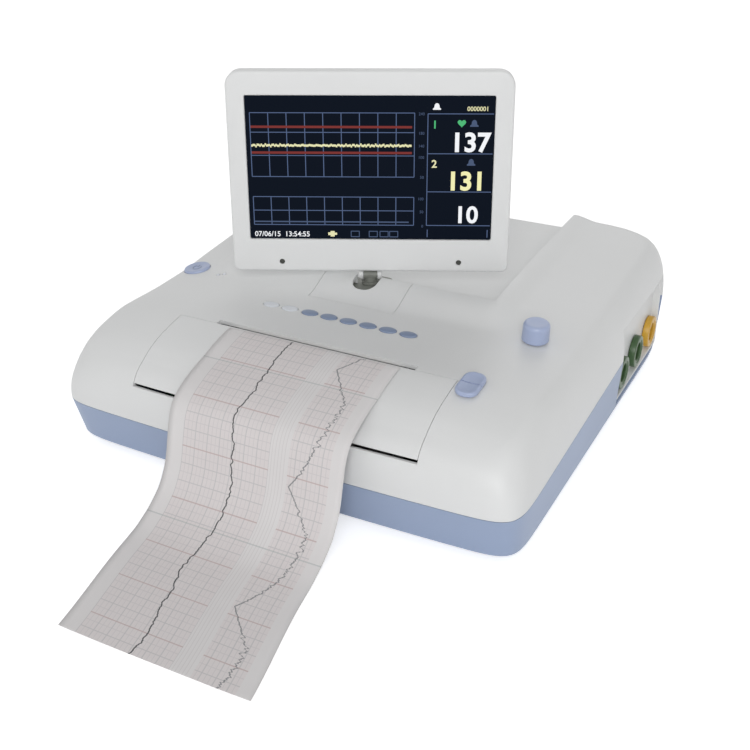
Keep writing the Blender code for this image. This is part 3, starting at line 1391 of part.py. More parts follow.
def power_button():
    """The round power button and the small board with its switch under it."""
    frame = deck_frame(POWER_X, POWER_Y)
    high = POWER_FLANGE_TOP
    profile = [(POWER_RADIUS + KEY_FLANGE, high - KEY_FLANGE), (POWER_RADIUS + KEY_FLANGE, high),
               (POWER_RADIUS, high), (POWER_RADIUS, POWER_PROUD - KEY_ROUND),
               (POWER_RADIUS - KEY_ROUND, POWER_PROUD)]
    Solids().lathe(profile).done("power_button", "knob_blue", deck_axis("power_axis", frame))
    half = POWER_BOARD_HALF
    low = POWER_BOARD_TOP - KEY_BOARD_THICK
    board = Solids().prism(corners((-half, -half, half, half)), low, POWER_BOARD_TOP, frame)
    board = board.done("power_switch_board", "board_green")
    half = SWITCH_SIZE / 2
    switch = Solids().prism(corners((-half, -half, half, half)), low + KEY_BOARD_THICK / 2,
                            POWER_BOARD_TOP + SWITCH_HEIGHT, frame)
    combine(board, switch.done("power_switch"), "UNION")


def status_lamps():
    """Two lamps under the deck, joined by their holder."""
    solids = Solids()
    collar = LED_RADIUS + 2 * GAP
    top = -WALL - 2 * GAP
    profile = [(collar, -LED_DEPTH), (collar, top), (LED_RADIUS, top), (LED_RADIUS, LED_PROUD)]
    for place in led_places():
        solids.lathe(profile, deck_frame(*place), SMALL_SIDES)
    lamps = solids.done("status_lamps", "lamp_white")
    middle = deck_frame(LED_X + LED_PITCH / 2, LED_Y + LED_PITCH / 4)
    reach = LED_PITCH / 2 + collar
    holder = Solids().block((-reach, -collar, -LED_DEPTH - LED_HOLDER / 2),
                            (reach, collar, -LED_DEPTH + LED_HOLDER / 2), middle)
    combine(lamps, holder.done("lamp_holder"), "UNION")


def knob():
    """The knob, its spindle and the encoder under the deck."""
    frame = deck_frame(KNOB_X, KNOB_Y)
    axis = deck_axis("knob_axis", frame)
    top = KNOB_LIFT + KNOB_HEIGHT
    bore = ENCODER_SHAFT_RADIUS + GAP
    chamfer = KNOB_TOP_ROUND / 3
    profile = [(bore, KNOB_LIFT + KNOB_BORE_DEPTH), (bore, KNOB_LIFT), (KNOB_RADIUS, KNOB_LIFT),
               (KNOB_RADIUS, top - KNOB_TOP_ROUND), (KNOB_RADIUS - chamfer, top - chamfer),
               (KNOB_RADIUS - KNOB_TOP_ROUND, top)]
    Solids().lathe(profile).done("knob", "knob_blue", axis)
    high = -WALL - ENCODER_DROP
    foot = high - ENCODER_HEIGHT + 2 * KNOB_TRAVEL + GAP
    Solids().rod(ENCODER_SHAFT_RADIUS, foot, ENCODER_SHAFT_UP).done("knob_spindle", "steel",
                                                                   axis)
    half = ENCODER_SIZE / 2
    body = Solids().prism(corners((-half, -half, half, half)), high - ENCODER_HEIGHT, high,
                          frame).done("knob_encoder", "steel")
    cut = Solids().rod(bore, foot - GAP - KNOB_TRAVEL, OVERRUN, frame)
    combine(body, cut.done("encoder_bore"), "DIFFERENCE")


def latch():
    """The sliding release button and the hook plate under the deck that it carries."""
    frame = latch_frame()
    axis = deck_axis("latch_axis", frame)
    top = LATCH_LIFT + LATCH_HEIGHT
    outline = rounded(LATCH_WIDTH, LATCH_LENGTH, LATCH_CORNER)
    crown = rounded(LATCH_WIDTH - 2 * LATCH_ROUND, LATCH_LENGTH - 2 * LATCH_ROUND,
                    LATCH_CORNER - LATCH_ROUND)
    button = Solids().stack([(outline, LATCH_LIFT), (outline, top - LATCH_ROUND), (crown, top)])
    button = button.done("latch_button", "knob_blue", axis)
    wide = LATCH_STEM_WIDTH / 2
    long = LATCH_STEM_LENGTH / 2
    high = -WALL - LATCH_PLATE_DROP
    low = high - LATCH_PLATE_THICK
    stem = Solids().prism(corners((-wide, -long, wide, long)), low, top - LATCH_ROUND)
    combine(button, stem.done("latch_stem", parent=axis), "UNION")
    lug_rear = (LATCH_X, DOOR_LUG_Y + LATCH_TONGUE_CLEARANCE, deck_height(LATCH_X, LATCH_Y) + high)
    front = (frame.inverted() @ Vector(lug_rear)).y
    tongue = DOOR_LUG_X - LATCH_X
    margin = LATCH_PLATE_MARGIN
    outline = [(tongue, front), (-wide - margin, front), (-wide - margin, -long - margin),
               (wide + margin, -long - margin), (wide + margin, long + margin),
               (tongue, long + margin)]
    plate = Solids().prism(outline, low, high).done("latch_hook", "steel", axis)
    hole = corners(grown((-wide, -long, wide, long), GAP))
    hole = Solids().prism(hole, low - OVERRUN, high + OVERRUN)
    combine(plate, hole.done("latch_hole", parent=axis), "DIFFERENCE")


# Sockets, ports and electronics

def socket_bay():
    """The white insert that lines the bay, with three holes for the sockets."""
    box = (-BAY_HIGH_Z, BAY_FRONT_Y, -BAY_LOW_Z, BAY_REAR_Y)
    outer = corners(grown(box, -GAP))
    inner = corners(grown(box, -GAP - BAY_RIM))
    levels = [(outer, BAY_BACK_X + GAP), (outer, BAY_OUTER_X), (inner, BAY_OUTER_X),
              (inner, BAY_FACE_X)]
    bay = Solids().stack(levels, TILT_LINE).done("socket_bay", "white_plastic")
    holes = Solids()
    for y in socket_places():
        holes.rod(SOCKET_NECK_RADIUS + GAP, BAY_BACK_X - OVERRUN, BAY_FACE_X + OVERRUN,
                  along_x(0, y, SOCKET_Z))
    combine(bay, holes.done("bay_holes"), "DIFFERENCE")


def sockets():
    """Three round transducer sockets, each with a contact core in its bore."""
    names = (("fhr_socket_front", "socket_green"), ("fhr_socket_rear", "socket_green"),
             ("toco_socket", "socket_yellow"))
    near = BAY_FACE_X + GAP
    face = near + SOCKET_PROUD
    floor = face - SOCKET_BORE_DEPTH
    profile = [(SOCKET_NECK_RADIUS, SOCKET_BACK_X), (SOCKET_NECK_RADIUS, near),
               (SOCKET_RADIUS, near), (SOCKET_RADIUS, face - SOCKET_ROUND),
               (SOCKET_RADIUS - SOCKET_ROUND, face), (SOCKET_BORE_RADIUS, face),
               (SOCKET_BORE_RADIUS, floor), (CONTACT_RADIUS, floor),
               (CONTACT_RADIUS, floor + CONTACT_LENGTH)]
    for (name, finish), y in zip(names, socket_places()):
        Solids().lathe(profile, along_x(0, y, SOCKET_Z)).done(name, finish)


def socket_board():
    """The board behind the sockets, which stands on the floor."""
    high = SOCKET_BACK_X - GAP
    reach = SOCKET_NECK_RADIUS + SOCKET_BOARD_MARGIN
    places = socket_places()
    Solids().block((high - SOCKET_BOARD_THICK, places[0] - reach, FLOOR_Z + GAP),
                   (high, places[-1] + reach, SOCKET_Z + SOCKET_BOARD_HALF_HEIGHT)).done(
        "socket_board", "board_green")


def port_face_y():
    """How far back the ports reach: just past the tapering rear wall."""
    share = (SEAM_REAR_Z - PORT_Z) / (SEAM_REAR_Z - FOOT_HEIGHT)
    return HALF_DEPTH - SIDE_TAPER * share + PORT_MARGIN


def dc_inlet():
    face = port_face_y()
    half = INLET_HALF
    body = Solids().block((INLET_X - half, face - INLET_DEPTH, PORT_Z - half),
                          (INLET_X + half, face, PORT_Z + half)).done("dc_inlet", "dark_grey")
    bore = Solids().rod(INLET_RADIUS, -INLET_BORE, OVERRUN, along_y(INLET_X, face, PORT_Z))
    combine(body, bore.done("inlet_bore"), "DIFFERENCE")


def serial_port():
    """The data port: a box that is open to the rear."""
    box = (-SERIAL_HALF_WIDTH, -SERIAL_HALF_HEIGHT, SERIAL_HALF_WIDTH, SERIAL_HALF_HEIGHT)
    inner = corners(grown(box, -SERIAL_RIM))
    levels = [(corners(box), -SERIAL_DEPTH), (corners(box), 0), (inner, 0),
              (inner, -SERIAL_BORE)]
    Solids().stack(levels, along_y(SERIAL_X, port_face_y(), PORT_Z)).done(
        "serial_port", "steel")


def board(name, box):
    """A circuit board on its posts, with its larger parts on top."""
    low = FLOOR_Z + BOARD_LIFT
    plate = Solids().prism(corners(box), low, low + BOARD_THICK).done(name, "board_green")
    x0, y0, x1, y1 = box
    chips = Solids()
    for share_x, share_y, size in zip(CHIP_X_SHARES, CHIP_Y_SHARES, CHIP_SIZE_SHARES):
        x = x0 + (x1 - x0) * share_x
        y = y0 + (y1 - y0) * share_y
        half = min(x1 - x0, y1 - y0) * size / 2
        chips.prism(corners((x - half, y - half, x + half, y + half)), low + BOARD_THICK / 2,
                    low + BOARD_THICK + CHIP_HEIGHT)
    combine(plate, chips.done(f"{name}_chips"), "UNION")
    holes = Solids()
    for x, y in hole_places(box):
        holes.rod(BOARD_PEG_RADIUS + GAP, low - OVERRUN, low + OVERRUN, upright(x, y),
                  SMALL_SIDES)
    combine(plate, holes.done(f"{name}_holes"), "DIFFERENCE")


def speaker():
    """The loudspeaker, which faces down through the grille in the floor."""
    low = FLOOR_Z + GAP
    neck = SPEAKER_RADIUS * SPEAKER_NECK_SHARE
    profile = [(SPEAKER_RADIUS, low), (SPEAKER_RADIUS, low + SPEAKER_HEIGHT / 4),
               (neck, low + SPEAKER_HEIGHT / 2), (neck, low + SPEAKER_HEIGHT)]
    Solids().lathe(profile, upright(SPEAKER_X, SPEAKER_Y)).done("speaker", "dark_grey")


def build_case():
    lower_case()
    upper_case()
    hatch_and_battery()
    case_screws()
    rubber_feet()


def build_screen():
    swivel = empty("screen_swivel_axis", (HINGE_X, HINGE_Y, TILT_AXIS_Z),
                   rotation=(0, 0, SCREEN_SWIVEL))
    tilt = empty("screen_tilt_axis", (0, 0, 0), swivel, (SCREEN_TILT, 0, 0))
    hinge_post(swivel)
    hinge_fixings(swivel)
    screen_bezel(tilt)
    screen_rear_cover(tilt)
    lcd_module(tilt)
    screen_board(tilt)
    hinge_base()
    hinge_cover()


def build_printer():
    door_axis = empty("door_axis", (0, DOOR_AXIS_Y, DOOR_AXIS_Z))
    printer_door(door_axis)
    door_hinge_rod()
    roller_place = (0, ROLLER_Y - DOOR_AXIS_Y, ROLLER_Z - DOOR_AXIS_Z)
    platen(empty("platen_axis", roller_place, door_axis))
    motor(empty("pinion_axis", (0, PINION_Y, PINION_Z)))
    print_bridge()
    print_head()
    paper_supply()
    paper_strip()


def build_controls():
    keys()
    indicator_windows()
    key_board()
    power_button()
    status_lamps()
    knob()
    latch()


def build_electronics():
    socket_bay()
    sockets()
    socket_board()
    dc_inlet()
    serial_port()
    board("main_board", MAIN_BOARD)
    board("power_board", POWER_BOARD)
    speaker()


build_case()
build_screen()
build_printer()
build_controls()
build_electronics()
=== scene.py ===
# %% [markdown]
# Desktop fetal monitor (cardiotocograph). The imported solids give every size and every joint.
# This file dresses them: it works out the visible casings again with finer grids, draws the
# display and the chart paper, and gives each piece its real material. Units are metres,
# X runs to the monitor's right, Y to its back and Z up from the table.

# %% Load the frame
import math

import bmesh
import bpy
import numpy as np
from mathutils import Matrix, Vector


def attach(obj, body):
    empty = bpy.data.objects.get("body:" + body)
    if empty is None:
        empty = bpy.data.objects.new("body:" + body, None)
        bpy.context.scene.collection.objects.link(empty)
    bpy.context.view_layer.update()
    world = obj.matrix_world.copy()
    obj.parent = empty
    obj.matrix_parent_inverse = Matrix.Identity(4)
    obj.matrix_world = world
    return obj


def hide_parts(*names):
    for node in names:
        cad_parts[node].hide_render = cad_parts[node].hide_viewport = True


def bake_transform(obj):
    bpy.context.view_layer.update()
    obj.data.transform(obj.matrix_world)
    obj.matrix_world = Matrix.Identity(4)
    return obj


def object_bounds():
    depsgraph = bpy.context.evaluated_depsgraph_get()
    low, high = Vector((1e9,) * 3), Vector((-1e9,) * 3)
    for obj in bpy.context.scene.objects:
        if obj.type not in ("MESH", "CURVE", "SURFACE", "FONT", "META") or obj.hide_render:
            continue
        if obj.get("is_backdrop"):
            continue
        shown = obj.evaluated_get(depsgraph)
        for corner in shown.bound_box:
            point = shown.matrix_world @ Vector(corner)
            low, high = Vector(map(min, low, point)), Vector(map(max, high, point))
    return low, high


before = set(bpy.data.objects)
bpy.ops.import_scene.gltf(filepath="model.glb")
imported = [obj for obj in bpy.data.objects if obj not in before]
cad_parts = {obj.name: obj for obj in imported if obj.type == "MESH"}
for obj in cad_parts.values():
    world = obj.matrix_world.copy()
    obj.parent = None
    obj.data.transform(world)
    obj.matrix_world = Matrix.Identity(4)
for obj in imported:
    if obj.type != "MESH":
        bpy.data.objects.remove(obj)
cad_box = [list(corner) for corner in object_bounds()]
MM = 0.001
print("nodes in the frame:", len(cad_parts))

# %% [markdown]
# Shapes are rings of points. One function joins rings into a closed mesh, another turns a
# profile about an axis, and a third cuts one closed mesh by another. They are enough for
# moulded casings, buttons and sockets.

# %% Mesh helpers
SHARP = math.radians(32)


def settle(mesh):
    """Merges doubles, turns all faces outwards and marks edges over the sharp angle."""
    bm = bmesh.new()
    bm.from_mesh(mesh)
    bmesh.ops.remove_doubles(bm, verts=bm.verts, dist=0.002 * MM)
    bmesh.ops.recalc_face_normals(bm, faces=bm.faces)
    bm.to_mesh(mesh)
    bm.free()
    mesh.shade_smooth()
    mesh.set_sharp_from_angle(angle=SHARP)


def add_mesh(name, points, faces):
    """A linked object from points (n, 3) and faces, with doubles merged."""
    mesh = bpy.data.meshes.new(name)
    mesh.from_pydata(np.asarray(points, float).tolist(), [], faces)
    settle(mesh)
    piece = bpy.data.objects.new(name, mesh)
    bpy.context.scene.collection.objects.link(piece)
    return piece


def placed(points, matrix):
    """Points (…, 3) turned and moved by a 4 x 4 matrix."""
    m = np.array(matrix)
    return np.asarray(points, float) @ m[:3, :3].T + m[:3, 3]


def ring_faces(rows, count, closed):
    """Quads between neighbouring rings, plus two caps where the rings are open."""
    a = np.arange(rows if closed else rows - 1)[:, None]
    b = (a + 1) % rows
    k = np.arange(count)[None, :]
    n = (k + 1) % count
    quads = np.stack([a * count + k, a * count + n, b * count + n, b * count + k], -1)
    faces = quads.reshape(-1, 4).tolist()
    if not closed:
        last = (rows - 1) * count
        faces += [list(range(count))[::-1], list(range(last, last + count))]
    return faces


def rings(name, loops, matrix=Matrix(), closed=False):
    """Loops (rows, count, 3) joined in turn; capped at both ends, or joined into a ring."""
    loops = placed(loops, matrix)
    return add_mesh(name, loops.reshape(-1, 3), ring_faces(*loops.shape[:2], closed))


def levels(name, pairs, matrix=Matrix(), closed=False):
    """Outlines (n, 2), each at its own height along Z."""
    loops = [np.column_stack([outline, np.full(len(outline), z)]) for outline, z in pairs]
    return rings(name, np.stack(loops), matrix, closed)


def lathe(name, profile, matrix=Matrix(), sides=64, closed=False):
    """x = r cos t, y = r sin t, z = h for each (r, h) of the profile."""
    turn = np.linspace(0, 2 * np.pi, sides, endpoint=False)
    r, h = np.array(profile, float).T
    loops = np.stack([r[:, None] * np.cos(turn), r[:, None] * np.sin(turn),
                      h[:, None] + 0 * turn], -1)
    return rings(name, loops, matrix, closed)


def block(name, low, high, matrix=Matrix()):
    """A box between two corners: one rectangle at two heights."""
    (x0, y0, z0), (x1, y1, z1) = low, high
    outline = np.array([(x0, y0), (x1, y0), (x1, y1), (x0, y1)])
    return levels(name, [(outline, z0), (outline, z1)], matrix)


def carve(piece, tool, operation="DIFFERENCE"):
    """Cuts, joins or trims a closed mesh by a tool, applies it and drops the tool."""
    step = piece.modifiers.new(tool.name, "BOOLEAN")
    step.operation, step.solver, step.object = operation, "EXACT", tool
    bpy.context.view_layer.update()
    graph = bpy.context.evaluated_depsgraph_get()
    made = bpy.data.meshes.new_from_object(piece.evaluated_get(graph))
    piece.modifiers.clear()
    piece.data = made
    bpy.data.objects.remove(tool, do_unlink=True)
    return piece


def along_x(x, y, z):
    """A frame at the point, whose Z runs along X."""
    return Matrix.Translation((x, y, z)) @ Matrix.Rotation(math.pi / 2, 4, "Y")


def over(x, y):
    """A frame at (x, y) on the table."""
    return Matrix.Translation((x, y, 0))


def mm(*points):
    """Points that are given in millimetres, in metres."""
    return [tuple(value * MM for value in point) for point in points]


def rod(name, radius, low, high, matrix=Matrix(), sides=32):
    """A cylinder from low to high along the frame's Z."""
    return lathe(name, [(radius, low), (radius, high)], matrix, sides)


def united(name, pieces):
    """One mesh from closed ones that may overlap."""
    first, *others = pieces
    for other in others:
        carve(first, other, "UNION")
    first.name = name
    return first


def rounded(width, length, radius, centre=(0, 0), steps=10, low_radius=None):
    """A rectangle with quarter-circle corners; the low ones may have their own radius."""
    spots = []
    for corner, (sx, sy) in enumerate(((1, 1), (-1, 1), (-1, -1), (1, -1))):
        r = low_radius if low_radius and sy < 0 else radius
        t = np.pi / 2 * (corner + np.linspace(0, 1, steps + 1))
        spots.append(np.column_stack([centre[0] + sx * (width / 2 - r) + r * np.cos(t),
                                      centre[1] + sy * (length / 2 - r) + r * np.sin(t)]))
    return np.concatenate(spots)


def oval(half_length, half_width, sides=64):
    """x = a cos t, y = b sin t."""
    t = np.linspace(0, 2 * np.pi, sides, endpoint=False)
    return np.column_stack([half_length * np.cos(t), half_width * np.sin(t)])


print("mesh helpers ready")

# %% [markdown]
# Materials. The casings are injection-moulded ABS: satin, with a fine spark-eroded grain. One
# small function adds a node with its settings and links, and one turns hex colours to linear.

# %% Node helpers
def colour(code):
    """sRGB hex to linear RGBA."""
    parts = [int(code[k:k + 2], 16) / 255 for k in (1, 3, 5)]
    linear = [p / 12.92 if p <= 0.04045 else ((p + 0.055) / 1.055) ** 2.4 for p in parts]
    return (*linear, 1)


def feed(tree, node, **inputs):
    """Sets a node's inputs (names or in0, in1 ...) to values, or links them to sockets."""
    for name, value in inputs.items():
        numbered = name[:2] == "in" and name[2:].isdigit()
        socket = node.inputs[int(name[2:]) if numbered else name.replace("_", " ")]
        if isinstance(value, bpy.types.NodeSocket):
            tree.links.new(value, socket)
        else:
            socket.default_value = value
    return node


def add(tree, kind, settings=None, **inputs):
    """Adds a node; the settings are its properties."""
    node = tree.nodes.new(f"ShaderNode{kind}")
    for name, value in (settings or {}).items():
        setattr(node, name, value)
    return feed(tree, node, **inputs)


def own_space(tree):
    """The piece's own coordinates, in metres."""
    return add(tree, "TexCoord").outputs["Object"]


def mix(tree, share, low, high):
    """A colour between two, each a hex code or a socket."""
    low, high = (colour(c) if isinstance(c, str) else c for c in (low, high))
    return add(tree, "Mix", {"data_type": "RGBA"}, in0=share, in6=low, in7=high).outputs[2]


def shader(name, **values):
    """A material with one Principled shader, whose plain values stand on its sockets."""
    made = bpy.data.materials.new(name)
    made.use_nodes = True
    tree = made.node_tree
    return made, tree, feed(tree, tree.nodes["Principled BSDF"], **values)


def mottled(tree, face, dark, light, scale):
    """Colour that wanders between two close tones over the given size, in metres."""
    where = own_space(tree)
    cloud = add(tree, "TexNoise", Vector=where, Scale=1 / scale, Detail=3)
    feed(tree, face, Base_Color=mix(tree, cloud.outputs["Fac"], dark, light))
    return where


def grained(tree, face, where, size, depth, edge=None):
    """Bump of fine grain over edges that are softened by a small radius."""
    grain = add(tree, "TexNoise", Vector=where, Scale=1 / size, Detail=2)
    bump = add(tree, "Bump", Height=grain.outputs["Fac"], Strength=0.25, Distance=depth)
    if edge:
        feed(tree, bump, Normal=add(tree, "Bevel", {"samples": 4}, Radius=edge).outputs[0])
    feed(tree, face, Normal=bump.outputs[0])


def moulded(name, dark, light, roughness, grain=0.7 * MM, depth=0.05 * MM, edge=0.35 * MM):
    """Moulded plastic. The real grain is 0.1 mm; it is drawn coarser so that it shows."""
    made, tree, face = shader(name, Roughness=roughness, IOR=1.5)
    grained(tree, face, mottled(tree, face, dark, light, 60 * MM), grain, depth, edge)
    return made


def metal(name, tone, roughness, stretch=(1, 1, 1)):
    """Bare metal with its brushing or drawing marks along one axis."""
    made, tree, face = shader(name, Roughness=roughness, Metallic=1.0)
    line = add(tree, "Mapping", Vector=own_space(tree), Scale=stretch)
    marks = add(tree, "TexNoise", Vector=line.outputs[0], Scale=1 / (0.6 * MM),
                Detail=2).outputs["Fac"]
    bump = add(tree, "Bump", Height=marks, Strength=0.15, Distance=0.05 * MM)
    feed(tree, face, Base_Color=mix(tree, marks, *tone), Normal=bump.outputs[0])
    return made


# %% [markdown]
# The finishes start from the real materials. ABS is a pale, opaque plastic with an IOR of 1.5,
# and the spark-eroded mould leaves it satin, so highlights are broad. Polished moulds give the
# keys and the knob a tighter highlight. Nylon, rubber, zinc plate, brass and alumina each get
# their usual roughness. Every finish keeps a slight mottle, because one flat tone looks unreal.

# %% Finishes
# Casings: satin plastic, so light spreads softly over the deck.
white_abs = moulded("white ABS, fine moulded grain", "#e2e3e3", "#e8e9e9", 0.42)
blue_abs = moulded("grey-blue ABS, fine moulded grain", "#94a4c1", "#9babc8", 0.42)
# Keys and controls: smoother plastic, whose highlights mark where a finger goes.
key_abs = moulded("blue ABS keys, polished mould", "#8594b0", "#8d9cb8", 0.3, depth=0.02 * MM)
control_abs = moulded("light blue ABS knob and buttons", "#a6b3d2", "#aebad8", 0.3,
                      depth=0.02 * MM)
# Nylon and rubber: rough and nearly without highlights.
dark_abs = moulded("dark grey nylon, matt mould", "#3a3c38", "#454741", 0.55)
post_grey = moulded("grey glass-filled nylon, matt mould", "#7e807a", "#888a83", 0.5)
rubber = moulded("black rubber, matt", "#1c1c1d", "#262628", 0.85, edge=None)
black_steel = moulded("black-coated sheet steel, pressed", "#1c1d1f", "#242528", 0.45)
# Sockets: coloured through, a little glossy, so that their rings catch a thin line of light.
green_socket = moulded("dark green polycarbonate socket", "#37512f", "#42603a", 0.35)
yellow_socket = moulded("ochre yellow polycarbonate socket", "#c99a2c", "#d8ab3f", 0.35)
# Clear and glazed things: smooth, with small sharp highlights.
lamp_guide = moulded("milky acrylic light guide", "#dfe3ea", "#eceff4", 0.2, depth=0.01 * MM)
ceramic = moulded("glazed alumina print head", "#d9d3c6", "#e4dfd3", 0.2, depth=0.01 * MM)
panel_glass = moulded("dark LCD panel under polished glass", "#0c1017", "#10151d", 0.12,
                      depth=0.01 * MM)
battery_wrap = moulded("blue heat-shrink battery wrap", "#2f4d80", "#3a5990", 0.35,
                       grain=4 * MM, depth=0.4 * MM)
# Metals: the marks of rolling, extruding and turning run along one axis.
steel = metal("zinc-plated steel, rolled", ("#b4b7ba", "#c4c6c8"), 0.34, (1, 6, 6))
aluminium = metal("extruded aluminium", ("#c2c5c9", "#d2d4d7"), 0.38, (0.1, 6, 6))
brass = metal("turned brass", ("#c7a75a", "#d6b86c"), 0.28, (6, 1, 1))

print("finishes:", len(bpy.data.materials))

# %% [markdown]
# A circuit board shows its copper through a green mask, as lighter lines every few millimetres.
# A fan-folded pack of paper shows its folds as thin layers. Brick and wave textures draw both.

# %% Circuit board and paper pack
board, tree, face = shader("glass-fibre board under green solder mask", Roughness=0.35, IOR=1.5)
tracks = add(tree, "TexBrick", {"offset": 0.37}, Vector=own_space(tree), Scale=1 / (6 * MM),
             Color1=colour("#1c5a34"), Color2=colour("#20663b"), Mortar=colour("#2f8a50"),
             Mortar_Size=0.03)
feed(tree, face, Base_Color=tracks.outputs[0])

stack_paper, tree, face = shader("fan-folded thermal paper, seen edge on", Roughness=0.8)
sheets = add(tree, "TexWave", {"bands_direction": "Z"}, Vector=own_space(tree),
             Scale=1 / (2.2 * MM), Distortion=0.4)
feed(tree, face, Base_Color=mix(tree, sheets.outputs["Fac"], "#bdb8b9", "#dcd8d9"))
print("materials:", len(bpy.data.materials))


def dress(piece, body, finish, nodes=()):
    """Gives a piece its material, its body and the solids that it stands for."""
    settle(piece.data)
    piece.data.materials.clear()
    piece.data.materials.append(finish)
    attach(piece, body)
    if nodes:
        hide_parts(*nodes)
    return piece


# %% [markdown]
# The case. Its plan is a superellipse with a bowed front, its deck a height over that plan and
# its seam a sloping plane. The deck ramps up to the back, falls off at the sides and rises to
# a rim round the recess in which the screen folds away. Grids of these functions give the
# casing, and the door and hinge cover are cut from the same surface, as on the real mould.

# %% Case sizes
WIDTH, DEPTH = 296 * MM, 305.5 * MM
HALF_W, HALF_D = WIDTH / 2, DEPTH / 2
GAP, WALL, OVER = 0.3 * MM, 2.5 * MM, 4 * MM
FOOT_Z = 5 * MM
REAR_Z = 88 * MM
REACH, POWER = 14 * MM, 2.2
SHARES_Y = np.array((-.5, -.4845, -.4714, -.4583, -.4354, -.4092, -.3699, -.3077, -.1964,
                     -.1244, 0, .1637, .3273, .5))
SHARES_Z = np.array((.699, .7045, .7114, .725, .7727, .8182, .858, .8898, .8784, .8807,
                     .9148, .9545, .983, 1))
RECESS_X, RECESS_HALF = -12 * MM, 88.5 * MM
RECESS_FRONT, RECESS_FLOOR = -8.5 * MM, 76 * MM
RIM_W, RIM_H = 17.5 * MM, 6.3 * MM
STEP_FOOT = -38 * MM
STEP = RECESS_FRONT - GAP - STEP_FOOT
HINGE = Vector((-9.2 * MM, -5.7 * MM, 85.6 * MM))
DOOR_HALF, DOOR_REAR, DOOR_LOW = 91 * MM, -96.8 * MM, 56 * MM
DOOR_Y, DOOR_Z = -142.5 * MM, 57.5 * MM
SKY = REAR_Z + RIM_H + OVER
SCREWS = [(x * MM, y * MM) for x in (-122, 122) for y in (-108, 104)]
POST_R, POST_TOP = 4.5 * MM, 12 * MM


# %% [markdown]
# The surface functions: a smooth curve through the deck's heights, the seam's plane, the rim of
# the recess, and a plan that squeezes a square into a superellipse. The top and the tray are
# lofts of these, so that a change of one value keeps every edge together.

# %% Case surface
def slopes(x, y):
    """Slopes at the table's points that make the curve smooth and never overshoot."""
    step, rise = np.diff(x), np.diff(y) / np.diff(x)
    inner = np.where(rise[1:] * rise[:-1] > 0,
                     2 * rise[1:] * rise[:-1] / (rise[1:] + rise[:-1] + 1e-12), 0)
    return np.concatenate([[rise[0]], inner, [rise[-1]]])


TANGENTS = slopes(SHARES_Y, SHARES_Z)


def smooth_table(value):
    """Cubic pieces through the deck's table of shares."""
    k = np.clip(np.searchsorted(SHARES_Y, value) - 1, 0, len(SHARES_Y) - 2)
    width = SHARES_Y[k + 1] - SHARES_Y[k]
    t = np.clip((value - SHARES_Y[k]) / width, 0, 1)
    return ((2 * t ** 3 - 3 * t ** 2 + 1) * SHARES_Z[k] + (t ** 3 - 2 * t ** 2 + t) * width
            * TANGENTS[k] + (3 * t ** 2 - 2 * t ** 3) * SHARES_Z[k + 1]
            + (t ** 3 - t ** 2) * width * TANGENTS[k + 1])


def ease(low, high, value):
    """0 before low, 1 after high, 3t² - 2t³ between."""
    t = np.clip((value - low) / (high - low), 0, 1)
    return t * t * (3 - 2 * t)


def seam_z(y):
    """The seam rises evenly from the front to the rear."""
    return 32.7 * MM + 14.2 * MM * (y / DEPTH + 0.5)


def rim(x, y):
    """A step in front of the recess, a bank beside it that falls away to the rear."""
    side = 1 - ease(RECESS_HALF, RECESS_HALF + RIM_W, np.abs(x - RECESS_X))
    front = ease(STEP_FOOT + 0.05 * STEP, STEP_FOOT + 0.95 * STEP, y)
    rear = 1 - 0.55 * np.clip((y - RECESS_FRONT) / (HALF_D - RECESS_FRONT), 0, 1)
    return RIM_H * front * rear * side


def deck(x, y):
    """Ramp through the table, less the side fall |x|^2.5, plus the recess rim."""
    edge = np.clip((np.abs(x) / HALF_W - 0.55) / 0.45, 0, 1) ** 2.5
    return smooth_table(np.asarray(y) / DEPTH) * REAR_Z - 6 * MM * edge + rim(x, y)


def plan(u, v, inset, front=0):
    """Square (u, v) to the outline |u|^n + |v|^n = 1, with a front that bows by x²."""
    power = np.where(v < 0, 20, 13)
    most = np.maximum(np.abs(u), np.abs(v))
    norm = (np.abs(u) ** power + np.abs(v) ** power) ** (1 / power)
    shrink = np.where(norm > 0, most / np.where(norm > 0, norm, 1), 1)
    x, y = (HALF_W - inset) * u * shrink, (HALF_D - inset) * v * shrink
    forward = np.clip(-y / HALF_D, 0, 1) ** 3
    return x, y + forward * (3.2 * MM * (x / HALF_W) ** 2 + front)


def grid_lines(half, step):
    """Even lines, closer together where the corners turn."""
    even = np.linspace(-1, 1, max(4, int(2 * half / step)))
    near = 1 - np.array([.004, .012, .022, .035, .05, .07, .095, .125, .16])
    return np.unique(np.round(np.concatenate([even, near, -near]), 5))


def border(nu, nv):
    """Grid indices that walk once round the edge of an nu x nv grid."""
    i = [*range(nu), *[nu - 1] * (nv - 1), *range(nu - 2, -1, -1), *[0] * (nv - 2)]
    j = [*[0] * nu, *range(1, nv), *[nv - 1] * (nu - 1), *range(nv - 2, 0, -1)]
    return np.array(i), np.array(j)


